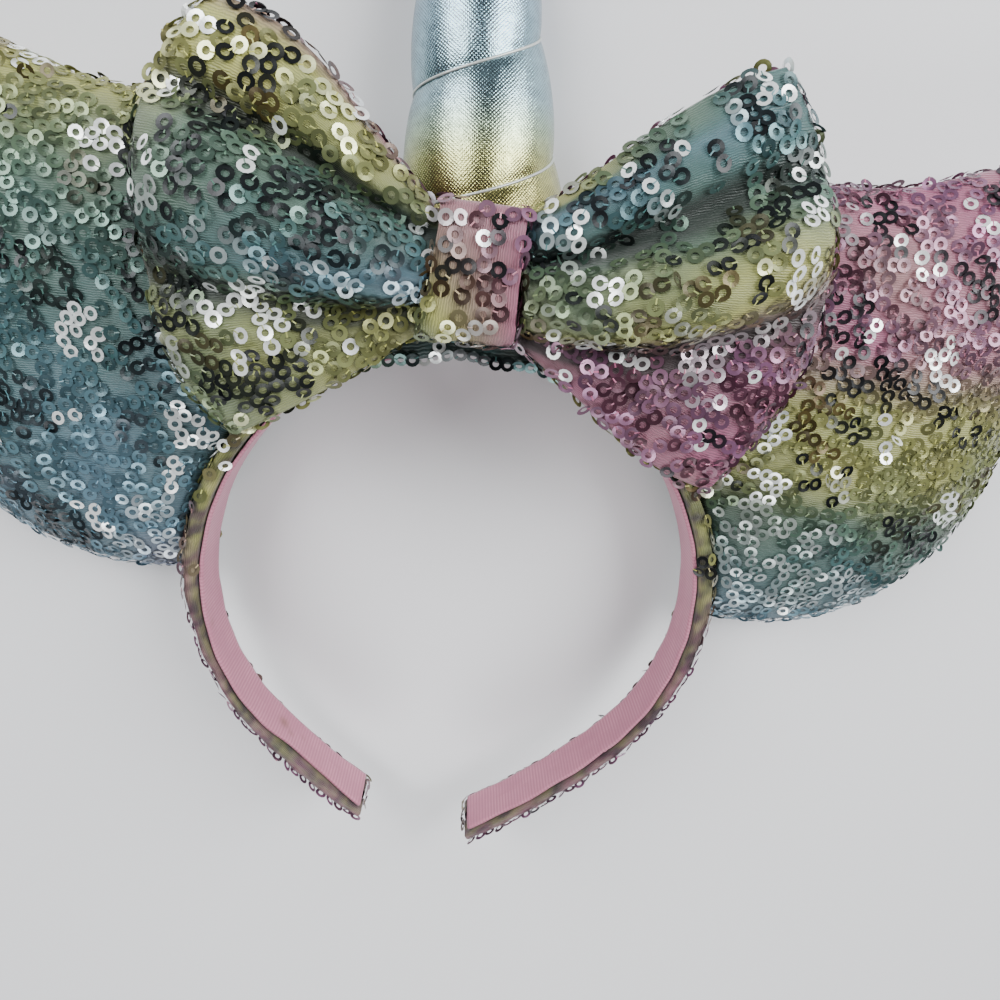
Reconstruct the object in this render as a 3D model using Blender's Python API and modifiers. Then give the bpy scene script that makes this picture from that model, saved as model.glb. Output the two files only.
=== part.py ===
"""Unicorn horn headband: a wrapped hair band with padded ears, a wound horn and a gathered bow.

The headband lies on its back, as it does on a table. Seen from the front, +X points to the right,
+Y runs up the head to the horn's tip, and +Z comes out of the front.
Until the last step everything is placed from the centre of the band's arc, in its middle plane.
"""

import bmesh
import bpy
import numpy as np
from mathutils import Vector

MM = 0.001

# Gap kept between pieces that are glued or sewn together
SEAM_GAP = 0.3 * MM

# Ribbon lining, and the arc that the whole band follows
RIBBON_RADIUS = 58.5 * MM
RIBBON_THICKNESS = 1.0 * MM
RIBBON_WIDTH = 12.5 * MM
ARC_ANGLE = np.radians(133.0)
END_RADIUS = 170.0 * MM
LEFT_END_LENGTH = 35.0 * MM
RIGHT_END_LENGTH = 43.5 * MM
RIBBON_SHORT_OF_END = 1.8 * MM

# Band wrapped in sequin mesh
BAND_THICKNESS = 3.6 * MM
BAND_TIP_THICKNESS = 1.9 * MM
BAND_TAPER_FROM = 88.0 * MM
BAND_TAPER_LENGTH = 26.0 * MM
BAND_WIDTH = 14.5 * MM
BAND_EDGE_ROUND = 0.9 * MM

# Padded ears, a leaf shape with one soft point
EAR_CENTRE_X = 75.0 * MM
EAR_CENTRE_Y = 50.7 * MM
EAR_RADIUS = 51.5 * MM
EAR_POINT_ANGLE = np.radians(45.0)
EAR_POINT_LENGTH = 30.0 * MM
EAR_POINT_SPREAD = np.radians(21.0)
EAR_HALF_THICKNESS = 15.0 * MM
EAR_SET_BACK = 2.0 * MM
EAR_RIM_HALF_THICKNESS = 0.7 * MM
EAR_SEAT_HALF_THICKNESS = 5.0 * MM
EAR_TO_HORN = 1.4 * MM
EAR_SEAT_BLEND = 5.0 * MM
EAR_CROWN_POWER = 2.4
EAR_FULLNESS_POWER = 0.62

# Wound horn
HORN_CENTRE_X = 1.3 * MM
HORN_LENGTH = 150.0 * MM
HORN_BASE_RADIUS = 19.1 * MM
HORN_TIP_RADIUS = 2.2 * MM
HORN_BULGE = 1.5 * MM
HORN_PITCH = 22.2 * MM
HORN_FIRST_GROOVE = 18.6 * MM
GROOVE_DIP = 5.9 * MM
GROOVE_DIP_LENGTH = 121.0 * MM
HORN_PUFF_POWER = 0.6
HORN_LEAN = np.radians(7.5)
HORN_TIP_ROUND = 6.0 * MM

# Bow: knot loop and the pouch gathered inside it
BOW_CENTRE_X = -2.8 * MM
KNOT_WIDTH = 16.2 * MM
KNOT_HEIGHT = 24.6 * MM
KNOT_DEPTH = 10.5 * MM
KNOT_WALL = 1.6 * MM
KNOT_CORNER = 4.2 * MM
KNOT_ABOVE_BAND = 0.1 * MM
LOBE_LENGTH = 64.0 * MM
LOBE_HEIGHT = 77.0 * MM
LOBE_FRONT = 9.0 * MM
LOBE_TO_EAR = 3.5 * MM
LOBE_EDGE = 1.3 * MM
LOBE_ROOT = 1.8 * MM

# Outer end of each lobe, from its top tip to its bottom tip.
# down: share of the way down, out: share of LOBE_LENGTH, up: share of LOBE_HEIGHT
LEFT_END = (
    dict(down=0.00, out=0.735, up=0.500),
    dict(down=0.25, out=0.915, up=0.270),
    dict(down=0.50, out=0.925, up=0.040),
    dict(down=0.75, out=0.870, up=-0.220),
    dict(down=1.00, out=0.660, up=-0.450),
)
RIGHT_END = (
    dict(down=0.00, out=0.765, up=0.520),
    dict(down=0.25, out=0.940, up=0.300),
    dict(down=0.50, out=1.015, up=0.050),
    dict(down=0.75, out=0.970, up=-0.200),
    dict(down=1.00, out=0.800, up=-0.468),
)

# How far the top and bottom edges bow away from straight, as shares of LOBE_HEIGHT.
# A shift above 1 moves the fullest place outward from the middle.
LEFT_EDGES = dict(top=0.065, bottom=0.012, shift=1.3)
RIGHT_EDGES = dict(top=0.037, bottom=0.038, shift=1.6)

# Folds that run out from the knot.
# knot and end: share of the way down at the knot and at the outer end,
# rise: share of LOBE_FRONT, forward or back, width: share of the way down
LEFT_FOLDS = (
    dict(knot=0.10, end=0.10, rise=0.20, width=0.08),
    dict(knot=0.27, end=0.19, rise=-0.62, width=0.06),
    dict(knot=0.50, end=0.38, rise=0.42, width=0.14),
    dict(knot=0.80, end=0.62, rise=-0.45, width=0.05),
)
RIGHT_FOLDS = (
    dict(knot=0.20, end=0.09, rise=0.24, width=0.10),
    dict(knot=0.39, end=0.20, rise=-0.62, width=0.07),
    dict(knot=0.70, end=0.34, rise=0.48, width=0.12),
    dict(knot=0.92, end=0.52, rise=-0.35, width=0.05),
)

# The middle fold lies over the lower one: below this line the front drops back.
# knot and end: share of the way down, drop: share of LOBE_FRONT, width: share of the way down,
# reach: share of the lobe's length at which the drop has faded out
LEFT_LIP = dict(knot=0.745, end=0.56, drop=0.55, width=0.025, reach=0.65)
RIGHT_LIP = dict(knot=0.87, end=0.46, drop=0.60, width=0.025, reach=1.10)
LIP_ACROSS = 0.62

# How the lobes fill out, as shares of the lobe's length and as powers of a curve
LOBE_FULL_FROM = 0.55
LOBE_CLOSING_FROM = 0.60
LOBE_SWELL_POWER = 0.8
LOBE_ROUND_POWER = 0.6
FOLD_CLOSING_POWER = 0.7
FOLD_AT_KNOT = 0.35
FOLD_FULL_FROM = 0.30

# Colours, from the photograph
MESH_GREEN = (0.42, 0.55, 0.50, 1.0)
MESH_BLUE = (0.45, 0.60, 0.66, 1.0)
MESH_PINK = (0.66, 0.45, 0.50, 1.0)
MESH_OLIVE = (0.48, 0.45, 0.26, 1.0)
SILVER_GREEN = (0.70, 0.76, 0.70, 1.0)
RIBBON_PINK = (0.72, 0.45, 0.56, 1.0)


# Sizes that follow from the ones above
BAND_INNER = RIBBON_RADIUS + RIBBON_THICKNESS + SEAM_GAP
BAND_OUTER = BAND_INNER + BAND_THICKNESS
SEAT_RADIUS = BAND_OUTER + SEAM_GAP
REST_DEPTH = EAR_SET_BACK + EAR_HALF_THICKNESS
HORN_SLOPE = (HORN_BASE_RADIUS - HORN_TIP_RADIUS) / HORN_LENGTH
HORN_CENTRE_Z = HORN_BASE_RADIUS + HORN_BULGE - REST_DEPTH
EAR_FRONT = EAR_HALF_THICKNESS - EAR_SET_BACK
KNOT_CENTRE_Y = BAND_OUTER + KNOT_ABOVE_BAND + KNOT_HEIGHT / 2


def material(name, colour, roughness, metallic=0.0):
    made = bpy.data.materials.new(name)
    made.use_nodes = True
    shader = made.node_tree.nodes["Principled BSDF"]
    shader.inputs["Base Color"].default_value = colour
    shader.inputs["Roughness"].default_value = roughness
    shader.inputs["Metallic"].default_value = metallic
    made.diffuse_color = colour
    return made


def add_object(name, data, surface, collection):
    made = bpy.data.objects.new(name, data)
    data.materials.append(surface)
    collection.objects.link(made)
    return made


def loft(name, rings, surface, collection, flat_ends=False):
    """A closed skin through rings of points. Each end closes on its middle, or zips flat."""
    count = len(rings[0])
    vertices = [tuple(point) for ring in rings for point in ring]
    faces = []
    for row in range(len(rings) - 1):
        for column in range(count):
            after = (column + 1) % count
            faces.append((
                row * count + column,
                (row + 1) * count + column,
                (row + 1) * count + after,
                row * count + after,
            ))
    for row, turned in ((0, False), (len(rings) - 1, True)):
        ring = [row * count + column for column in range(count)]
        if flat_ends:
            caps = [
                (ring[k], ring[k + 1], ring[-k - 1], ring[-k % count])
                for k in range(count // 2)
            ]
            caps[0] = (ring[0], ring[1], ring[-1])
            caps[-1] = (ring[count // 2 - 1], ring[count // 2], ring[-(count // 2) + 1])
        else:
            vertices.append(tuple(np.mean(rings[row], axis=0)))
            middle = len(vertices) - 1
            caps = [(middle, ring[k], ring[(k + 1) % count]) for k in range(count)]
        faces += [cap[::-1] if turned else cap for cap in caps]
    mesh = bpy.data.meshes.new(name)
    mesh.from_pydata(vertices, [], faces)
    shape = bmesh.new()
    shape.from_mesh(mesh)
    bmesh.ops.recalc_face_normals(shape, faces=shape.faces)
    shape.to_mesh(mesh)
    shape.free()
    mesh.shade_smooth()
    return add_object(name, mesh, surface, collection)


def flat_outline(name, outlines, half_width, surface, collection):
    """A flat shape between closed outlines in XY, with thickness along Z."""
    curve = bpy.data.curves.new(name, "CURVE")
    curve.dimensions = "2D"
    curve.fill_mode = "BOTH"
    curve.extrude = half_width
    for outline in outlines:
        spline = curve.splines.new("POLY")
        spline.points.add(len(outline) - 1)
        for point, (x, y) in zip(spline.points, outline):
            point.co = (x, y, 0.0, 1.0)
        spline.use_cyclic_u = True
    return add_object(name, curve, surface, collection)


def as_mesh(made):
    """Turns a curve object into a mesh object with the same name and its caps welded."""
    graph = bpy.context.evaluated_depsgraph_get()
    mesh = bpy.data.meshes.new_from_object(made.evaluated_get(graph))
    shape = bmesh.new()
    shape.from_mesh(mesh)
    bmesh.ops.remove_doubles(shape, verts=shape.verts, dist=0.00001)
    shape.to_mesh(mesh)
    shape.free()
    name, place, home = made.name, made.matrix_world.copy(), made.users_collection[0]
    bpy.data.objects.remove(made)
    mesh.name = name
    swapped = bpy.data.objects.new(name, mesh)
    swapped.matrix_world = place
    home.objects.link(swapped)
    return swapped


# Band and ribbon

def arc_point(along, outward):
    """A point of the band's path: a round arc, then a straighter end. along runs from the crown."""
    arc_length = RIBBON_RADIUS * ARC_ANGLE
    angle = np.clip(along / RIBBON_RADIUS, 0.0, ARC_ANGLE)
    beyond = np.maximum(along - arc_length, 0.0) / END_RADIUS
    end_turn = angle + beyond
    turned = END_RADIUS * (np.sin(end_turn) - np.sin(angle))
    dropped = END_RADIUS * (np.cos(end_turn) - np.cos(angle))
    x = RIBBON_RADIUS * np.sin(angle) + turned + outward * np.sin(end_turn)
    y = RIBBON_RADIUS * np.cos(angle) + dropped + outward * np.cos(end_turn)
    return np.stack([x, y], axis=-1)


def strip_branch(length, inner, thickness, tip_thickness, rounded):
    """One branch of a strip from the crown round its tip and back, seen from the front."""
    tip_round = tip_thickness / 2 if rounded else 0.0
    along = np.linspace(0.0, length - tip_round, 26)
    slimming = np.clip((along - BAND_TAPER_FROM) / BAND_TAPER_LENGTH, 0.0, 1.0)
    thick = thickness + (tip_thickness - thickness) * slimming
    turn = np.linspace(0.0, np.pi, 7)[1:-1] if rounded else np.array([])
    outside = arc_point(along, inner + thick)
    tip = arc_point(
        length - tip_round + tip_round * np.sin(turn),
        inner + tip_thickness / 2 * (1.0 + np.cos(turn)),
    )
    inside = arc_point(along[::-1], inner)
    return np.concatenate([outside, tip, inside])


def strip_outline(short_of_end, inner, thickness, tip_thickness, rounded):
    """The C that a strip makes seen from the front: a right branch and a mirrored left one."""
    arc_length = RIBBON_RADIUS * ARC_ANGLE - short_of_end
    shape = (inner, thickness, tip_thickness, rounded)
    right = strip_branch(arc_length + RIGHT_END_LENGTH, *shape)
    left = strip_branch(arc_length + LEFT_END_LENGTH, *shape)
    left = left[::-1] * (-1.0, 1.0)
    return np.concatenate([right[:-1], left[:-1]])


def build_band(collection):
    inner = BAND_INNER - RIBBON_RADIUS
    mesh_olive = material("olive_sequin_mesh", MESH_OLIVE, 0.5)
    outline = strip_outline(0.0, inner, BAND_THICKNESS, BAND_TIP_THICKNESS, True)
    band = as_mesh(flat_outline("band", [outline], BAND_WIDTH / 2, mesh_olive, collection))
    bevel = band.modifiers.new("soft_edges", "BEVEL")
    bevel.width = BAND_EDGE_ROUND
    bevel.segments = 2
    bevel.limit_method = "ANGLE"
    bevel.angle_limit = np.radians(60.0)

    ribbon_pink = material("pink_grosgrain", RIBBON_PINK, 0.6)
    outline = strip_outline(RIBBON_SHORT_OF_END, 0.0, RIBBON_THICKNESS, RIBBON_THICKNESS, False)
    ribbon = flat_outline("ribbon_lining", [outline], RIBBON_WIDTH / 2, ribbon_pink, collection)
    return [band, as_mesh(ribbon)]


# Ears

def ear_reach(angle):
    """Distance from the right ear's centre to its outline, for a direction in the XY plane.

    The outline is a circle drawn out to a rounded point, cut back along the band's outer face and
    kept clear of the horn.
    """
    from_point = (angle - EAR_POINT_ANGLE + np.pi) % (2 * np.pi) - np.pi
    leaf = EAR_RADIUS + EAR_POINT_LENGTH * np.exp(-(from_point / EAR_POINT_SPREAD) ** 2)
    dx, dy = np.cos(angle), np.sin(angle)
    toward = EAR_CENTRE_X * dx + EAR_CENTRE_Y * dy
    gap = EAR_CENTRE_X ** 2 + EAR_CENTRE_Y ** 2 - SEAT_RADIUS ** 2
    inside = toward ** 2 - gap
    hit = -toward - np.sqrt(np.maximum(inside, 0.0))
    to_band = np.where((inside > 0) & (hit > 0), hit, np.inf)
    horn_side = HORN_CENTRE_X + HORN_BASE_RADIUS + HORN_BULGE + EAR_TO_HORN
    to_horn = np.where(dx < -0.01, (EAR_CENTRE_X - horn_side) / np.maximum(-dx, 0.01), np.inf)
    reach = np.minimum(np.minimum(leaf, to_band), to_horn)
    seated = np.clip((leaf - to_band) / EAR_SEAT_BLEND, 0.0, 1.0)
    return reach, seated


def ear_point(share, angle, face):
    """A point of the right ear. share runs from centre to rim, face is 1 in front and -1 behind."""
    reach, seated = ear_reach(angle)
    rim = EAR_RIM_HALF_THICKNESS + (EAR_SEAT_HALF_THICKNESS - EAR_RIM_HALF_THICKNESS) * seated
    puff = (1.0 - share ** EAR_CROWN_POWER) ** EAR_FULLNESS_POWER
    depth = rim * share ** 2 + (EAR_HALF_THICKNESS - rim * share ** 2) * puff
    x = EAR_CENTRE_X + share * reach * np.cos(angle)
    y = EAR_CENTRE_Y + share * reach * np.sin(angle)
    return np.stack([x, y, face * depth - EAR_SET_BACK], axis=-1)


def build_ears(collection):
    ears = []
    angles = np.linspace(0.0, 2 * np.pi, 45)[:-1]
    shares = np.sin(np.radians([9, 24, 39, 53, 66, 78, 90]))
    for name, side, colour in (("ear_left", -1.0, MESH_BLUE), ("ear_right", 1.0, MESH_GREEN)):
        front = [ear_point(share, angles, 1.0) for share in shares]
        back = [ear_point(share, angles, -1.0) for share in shares[::-1]]
        rings = [ring * (side, 1.0, 1.0) for ring in front + back]
        surface = material(name + "_sequin_mesh", colour, 0.45)
        ears.append(loft(name, rings, surface, collection))
    return ears


# Horn

def horn_axes():
    """Unit vectors along the horn, to its right side and out of its front.

    It leans to the left, and back by its own taper, so that its back lies along the table.
    """
    axis = Vector((-np.sin(HORN_LEAN), np.cos(HORN_LEAN), -HORN_SLOPE)).normalized()
    side = Vector((np.cos(HORN_LEAN), np.sin(HORN_LEAN), 0.0))
    front = side.cross(axis)
    return np.array(axis), np.array(side), np.array(front)


def groove_level(along, turn):
    """The height that the groove counts by: near the foot the winding sags in front."""
    sag = GROOVE_DIP * np.maximum(1.0 - along / GROOVE_DIP_LENGTH, 0.0)
    return along + sag * np.sin(turn)


def along_at_level(level, turn):
    """The place along the horn where groove_level is level."""
    sag = GROOVE_DIP * np.sin(turn)
    return np.where(
        level < GROOVE_DIP_LENGTH, (level - sag) / (1.0 - sag / GROOVE_DIP_LENGTH), level
    )


def horn_point(along, turn):
    """A point of the horn: a cone with a puffed coil between the turns of one spiral groove."""
    axis, side, front = horn_axes()
    rise = (groove_level(along, turn) - HORN_FIRST_GROOVE) / HORN_PITCH
    phase = (rise + turn / (2 * np.pi)) % 1.0
    fade = np.clip((HORN_LENGTH - along) / HORN_TIP_ROUND, 0.0, 1.0)
    radius = HORN_BASE_RADIUS - HORN_SLOPE * along
    radius = radius + HORN_BULGE * np.abs(np.sin(np.pi * phase)) ** HORN_PUFF_POWER
    radius = radius * np.sqrt(1.0 - (1.0 - fade) ** 2)
    base = np.array((HORN_CENTRE_X, RIBBON_RADIUS, HORN_CENTRE_Z))
    out = np.cos(turn)[..., None] * side + np.sin(turn)[..., None] * front
    return base + np.asarray(along)[..., None] * axis + radius[..., None] * out


def horn_foot(turn):
    """How far along the horn its side meets the band's outer face."""
    along = np.full_like(turn, BAND_THICKNESS)
    for _ in range(12):
        point = horn_point(along, turn)
        height = np.sqrt(SEAT_RADIUS ** 2 - point[..., 0] ** 2)
        along = along + (height - point[..., 1])
    return along


def build_horn(collection):
    around = 16
    turns = np.arange(around) * 2 * np.pi / around
    step = HORN_PITCH / around
    foot = horn_foot(turns)
    lowest = groove_level(foot + step, turns).max()
    level = HORN_FIRST_GROOVE + step * np.ceil((lowest - HORN_FIRST_GROOVE) / step)
    first = along_at_level(level, turns)
    foot_ring = horn_point(foot, turns)
    middle = foot_ring.mean(axis=0)
    rings = []
    for share in (0.02, 0.4, 0.7):
        ring = middle + (foot_ring - middle) * share
        ring[:, 1] = np.sqrt(SEAT_RADIUS ** 2 - ring[:, 0] ** 2)
        rings.append(ring)
    for share in np.linspace(0.0, 1.0, 8)[:-1]:
        rings.append(horn_point(foot + (first - foot) * share, turns))
    closing = HORN_LENGTH - HORN_TIP_ROUND
    for ring_level in np.arange(level, closing, step):
        rings.append(horn_point(along_at_level(ring_level, turns), turns))
    for angle in np.radians([15, 35, 55, 72, 85]):
        along = closing + HORN_TIP_ROUND * np.sin(angle)
        rings.append(horn_point(np.full(around, along), turns))
    silver = material("silver_lame", SILVER_GREEN, 0.3, 0.8)
    return loft("horn", rings, silver, collection)


def horn_front_behind_knot():
    """The most forward place of the horn behind the knot's flat back, which is sewn to it."""
    along, turn = np.meshgrid(np.linspace(0.0, HORN_LENGTH, 301), np.radians(np.arange(0, 360, 3)))
    points = horn_point(along, turn)
    beside = np.abs(points[..., 0] - BOW_CENTRE_X) < KNOT_WIDTH / 2
    level = np.abs(points[..., 1] - KNOT_CENTRE_Y) < KNOT_HEIGHT / 2 - KNOT_CORNER
    return points[beside & level][:, 2].max()


# Bow

KNOT_CENTRE_Z = horn_front_behind_knot() + SEAM_GAP + KNOT_DEPTH / 2
LOBE_BACK = KNOT_CENTRE_Z - EAR_FRONT - LOBE_TO_EAR


def column(rows, name):
    return np.array([row[name] for row in rows])


def smooth_through(rows, key, value, at):
    """A smooth curve through a table's rows: the polynomial that passes through all of them."""
    return np.polyval(np.polyfit(column(rows, key), column(rows, value), len(rows) - 1), at)


def lobe_point(side, out, across, front):
    """A point of one lobe. out runs from the knot to the outer end and across from top to bottom.

    The lip follows the grid: across reaches LIP_ACROSS on the lip's own slanted line.
    """
    end, edges, folds, lip = (
        (LEFT_END, LEFT_EDGES, LEFT_FOLDS, LEFT_LIP) if side < 0
        else (RIGHT_END, RIGHT_EDGES, RIGHT_FOLDS, RIGHT_LIP)
    )
    lip_line = lip["knot"] + (lip["end"] - lip["knot"]) * out
    above = across * lip_line / LIP_ACROSS
    below = 1.0 - (1.0 - across) * (1.0 - lip_line) / (1.0 - LIP_ACROSS)
    down = np.where(across < LIP_ACROSS, above, below)
    root_x = KNOT_WIDTH / 2 + LOBE_ROOT
    root_y = KNOT_HEIGHT / 2 * (1.0 - 2.0 * down)
    end_x = LOBE_LENGTH * smooth_through(end, "down", "out", down)
    end_y = LOBE_HEIGHT * smooth_through(end, "down", "up", down)
    arch = np.sin(np.pi * out ** edges["shift"]) * LOBE_HEIGHT
    x = root_x + (end_x - root_x) * out
    y = root_y + (end_y - root_y) * out
    y = y + arch * (edges["top"] * (1.0 - down) ** 2 - edges["bottom"] * down ** 2)

    swell = np.sin(np.pi / 2 * np.clip(out / LOBE_FULL_FROM, 0.0, 1.0)) ** LOBE_SWELL_POWER
    near_end = np.clip((out - LOBE_CLOSING_FROM) / (1.0 - LOBE_CLOSING_FROM), 0.0, 1.0)
    closing = np.sqrt(1.0 - near_end ** 2)
    rounded = np.sin(np.pi * down) ** LOBE_ROUND_POWER
    knot_half = KNOT_DEPTH / 2 - KNOT_WALL
    growing = np.clip(out / FOLD_FULL_FROM, 0.0, 1.0)
    strength = (FOLD_AT_KNOT + (1.0 - FOLD_AT_KNOT) * growing) * closing ** FOLD_CLOSING_POWER
    relief = 0.0
    for fold in folds:
        line = fold["knot"] + (fold["end"] - fold["knot"]) * out
        relief = relief + fold["rise"] * np.exp(-(((down - line) / fold["width"]) ** 2))
    fading = np.cos(np.pi / 2 * np.clip(out / lip["reach"], 0.0, 1.0))
    past_lip = 0.5 * (1.0 + np.tanh((down - lip_line) / lip["width"]))
    relief = relief - lip["drop"] * past_lip * fading * (1.0 - down) / (1.0 - lip_line)
    ahead = knot_half + (LOBE_FRONT - knot_half) * swell
    behind = knot_half + (LOBE_BACK - knot_half) * swell
    thick = LOBE_EDGE + (ahead - LOBE_EDGE) * closing
    thin = LOBE_EDGE + (behind - LOBE_EDGE) * closing
    relief = relief * LOBE_FRONT * strength * rounded
    z = np.where(front > 0, thick * rounded + relief, -thin * rounded)
    return np.stack([side * x, y, z], axis=-1)


def waist_ring(side, across, front):
    """The narrow middle of the pouch, an oval that passes through the knot loop."""
    half_height = KNOT_HEIGHT / 2 - KNOT_WALL - SEAM_GAP
    half_depth = KNOT_DEPTH / 2 - KNOT_WALL - SEAM_GAP
    x = np.full_like(across, side * (KNOT_WIDTH / 2 + SEAM_GAP))
    z = front * half_depth * np.sin(np.pi * across)
    return np.stack([x, half_height * (1.0 - 2.0 * across), z], axis=-1)


def eased(count):
    """Steps from 0 to 1 that are close together at both ends."""
    return (1.0 - np.cos(np.linspace(0.0, np.pi, count))) / 2


def build_bow(collection):
    above_lip = LIP_ACROSS * eased(14)
    below_lip = LIP_ACROSS + (1.0 - LIP_ACROSS) * eased(12)
    downward = np.concatenate([above_lip, below_lip[1:]])
    across = np.concatenate([downward[:-1], downward[:0:-1]])
    front = np.repeat([1.0, -1.0], len(downward) - 1)
    outs = np.array([0.0, 0.07, 0.15, 0.25, 0.36, 0.48, 0.6, 0.71, 0.81, 0.89, 0.95, 0.985, 1.0])
    left = [lobe_point(-1.0, out, across, front) for out in outs[::-1]]
    right = [lobe_point(1.0, out, across, front) for out in outs]
    waist = [waist_ring(-1.0, across, front), waist_ring(1.0, across, front)]
    place = (BOW_CENTRE_X, KNOT_CENTRE_Y, KNOT_CENTRE_Z)
    rings = [ring + place for ring in left + waist + right]
    sequin_mesh = material("bow_sequin_mesh", MESH_GREEN, 0.45)
    return loft("bow", rings, sequin_mesh, collection, flat_ends=True)


def rounded_rectangle(height, depth, corner):
    """An outline centred on the origin, with its depth along the first axis."""
    steps = np.radians(np.linspace(0.0, 90.0, 6))
    points = []
    for quarter, (across, up) in enumerate(((1, 1), (-1, 1), (-1, -1), (1, -1))):
        middle = np.array((across * (depth / 2 - corner), up * (height / 2 - corner)))
        angle = steps + quarter * np.pi / 2
        points.append(middle + corner * np.stack([np.cos(angle), np.sin(angle)], axis=-1))
    return np.concatenate(points)


def build_knot(collection):
    outside = rounded_rectangle(KNOT_HEIGHT, KNOT_DEPTH, KNOT_CORNER)
    inside = rounded_rectangle(
        KNOT_HEIGHT - 2 * KNOT_WALL, KNOT_DEPTH - 2 * KNOT_WALL, KNOT_CORNER - KNOT_WALL
    )
    sequin_mesh = material("knot_sequin_mesh", MESH_PINK, 0.45)
    knot = flat_outline("bow_knot", [outside, inside], KNOT_WIDTH / 2, sequin_mesh, collection)
    knot.rotation_euler = (0.0, np.radians(90.0), 0.0)
    knot.location = (BOW_CENTRE_X, KNOT_CENTRE_Y, KNOT_CENTRE_Z)
    bpy.context.view_layer.update()
    return as_mesh(knot)


def stand_on_origin(parts):
    """Moves everything so that the origin is under the middle of the whole, on the table."""
    bpy.context.view_layer.update()
    corners = np.array([
        part.matrix_world @ vertex.co for part in parts for vertex in part.data.vertices
    ])
    low, high = corners.min(axis=0), corners.max(axis=0)
    shift = Vector((-(low[0] + high[0]) / 2, -(low[1] + high[1]) / 2, -low[2]))
    for part in parts:
        part.location = part.location + shift


def main():
    for made in list(bpy.data.objects):
        bpy.data.objects.remove(made)
    collection = bpy.data.collections.new("unicorn_horn_headband")
    bpy.context.scene.collection.children.link(collection)
    parts = build_band(collection)
    parts += build_ears(collection)
    parts.append(build_horn(collection))
    parts.append(build_bow(collection))
    parts.append(build_knot(collection))
    stand_on_origin(parts)


main()
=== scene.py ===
"""Unicorn horn headband: the finished looks of the padded ears, wound horn, bow, band and lining.

Every piece is a surface worked out on a grid from the same sizes as the model it covers.
Sequins are real rings, sewn in short meandering chains over a fine dip-dyed knit.
"""

import bpy
import numpy as np
from mathutils import Matrix, Vector
from mathutils.bvhtree import BVHTree


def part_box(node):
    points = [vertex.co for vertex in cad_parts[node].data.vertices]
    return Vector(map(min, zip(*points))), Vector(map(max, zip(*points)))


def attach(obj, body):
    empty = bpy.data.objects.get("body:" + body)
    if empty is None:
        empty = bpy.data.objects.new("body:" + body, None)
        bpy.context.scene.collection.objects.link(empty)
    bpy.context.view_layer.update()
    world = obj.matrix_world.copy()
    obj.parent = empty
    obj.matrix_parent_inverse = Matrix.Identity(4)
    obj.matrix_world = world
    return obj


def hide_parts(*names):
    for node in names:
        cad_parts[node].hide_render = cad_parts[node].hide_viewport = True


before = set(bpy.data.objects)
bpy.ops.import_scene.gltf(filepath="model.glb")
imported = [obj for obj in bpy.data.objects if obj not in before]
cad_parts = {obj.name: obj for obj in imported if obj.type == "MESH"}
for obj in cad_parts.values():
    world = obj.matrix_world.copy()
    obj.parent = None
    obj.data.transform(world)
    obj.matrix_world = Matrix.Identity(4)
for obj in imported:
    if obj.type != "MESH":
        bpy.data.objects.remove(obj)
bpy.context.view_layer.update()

MM = 0.001

# Ribbon and band
SEAM_GAP = 0.3 * MM
RIBBON_RADIUS = 58.5 * MM
RIBBON_THICKNESS = 1.0 * MM
RIBBON_WIDTH = 12.5 * MM
ARC_ANGLE = np.radians(133.0)
END_RADIUS = 170.0 * MM
LEFT_END_LENGTH = 35.0 * MM
RIGHT_END_LENGTH = 43.5 * MM
RIBBON_SHORT_OF_END = 1.8 * MM
BAND_THICKNESS = 3.6 * MM
BAND_TIP_THICKNESS = 1.9 * MM
BAND_TAPER_FROM = 88.0 * MM
BAND_TAPER_LENGTH = 26.0 * MM
BAND_WIDTH = 14.5 * MM
BAND_CORNER = 1.3 * MM

# Padded ears
EAR_CENTRE_X = 75.0 * MM
EAR_CENTRE_Y = 50.7 * MM
EAR_RADIUS = 51.5 * MM
EAR_POINT_ANGLE = np.radians(45.0)
EAR_POINT_LENGTH = 30.0 * MM
EAR_POINT_SPREAD = np.radians(21.0)
EAR_HALF_THICKNESS = 15.0 * MM
EAR_SET_BACK = 2.0 * MM
EAR_RIM_HALF_THICKNESS = 0.7 * MM
EAR_SEAT_HALF_THICKNESS = 5.0 * MM
EAR_TO_HORN = 1.4 * MM
EAR_SEAT_BLEND = 5.0 * MM
EAR_CROWN_POWER = 2.4
EAR_FULLNESS_POWER = 0.62

# Wound horn
HORN_CENTRE_X = 1.3 * MM
HORN_LENGTH = 150.0 * MM
HORN_BASE_RADIUS = 19.1 * MM
HORN_TIP_RADIUS = 2.2 * MM
HORN_BULGE = 1.5 * MM
HORN_PITCH = 22.2 * MM
HORN_FIRST_GROOVE = 18.6 * MM
GROOVE_DIP = 5.9 * MM
GROOVE_DIP_LENGTH = 121.0 * MM
HORN_PUFF_POWER = 0.6
HORN_LEAN = np.radians(7.5)
HORN_TIP_ROUND = 6.0 * MM
GROOVE_CORD_RADIUS = 0.30 * MM

# Bow
KNOT_WIDTH = 16.2 * MM
KNOT_HEIGHT = 24.6 * MM
KNOT_DEPTH = 10.5 * MM
KNOT_WALL = 1.6 * MM
LOBE_LENGTH = 64.0 * MM
LOBE_HEIGHT = 77.0 * MM
LOBE_FRONT = 9.0 * MM
LOBE_TO_EAR = 3.5 * MM
LOBE_EDGE = 1.3 * MM
LOBE_ROOT = 1.8 * MM
LIP_ACROSS = 0.62

# How the lobes fill out, as shares of the lobe's length and as powers of a curve
LOBE_FULL_FROM = 0.55
LOBE_CLOSING_FROM = 0.60
LOBE_SWELL_POWER = 0.8
LOBE_ROUND_POWER = 0.6
FOLD_CLOSING_POWER = 0.7
FOLD_AT_KNOT = 0.35
FOLD_FULL_FROM = 0.30
KNOT_LEAN = 0.45 * MM

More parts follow.
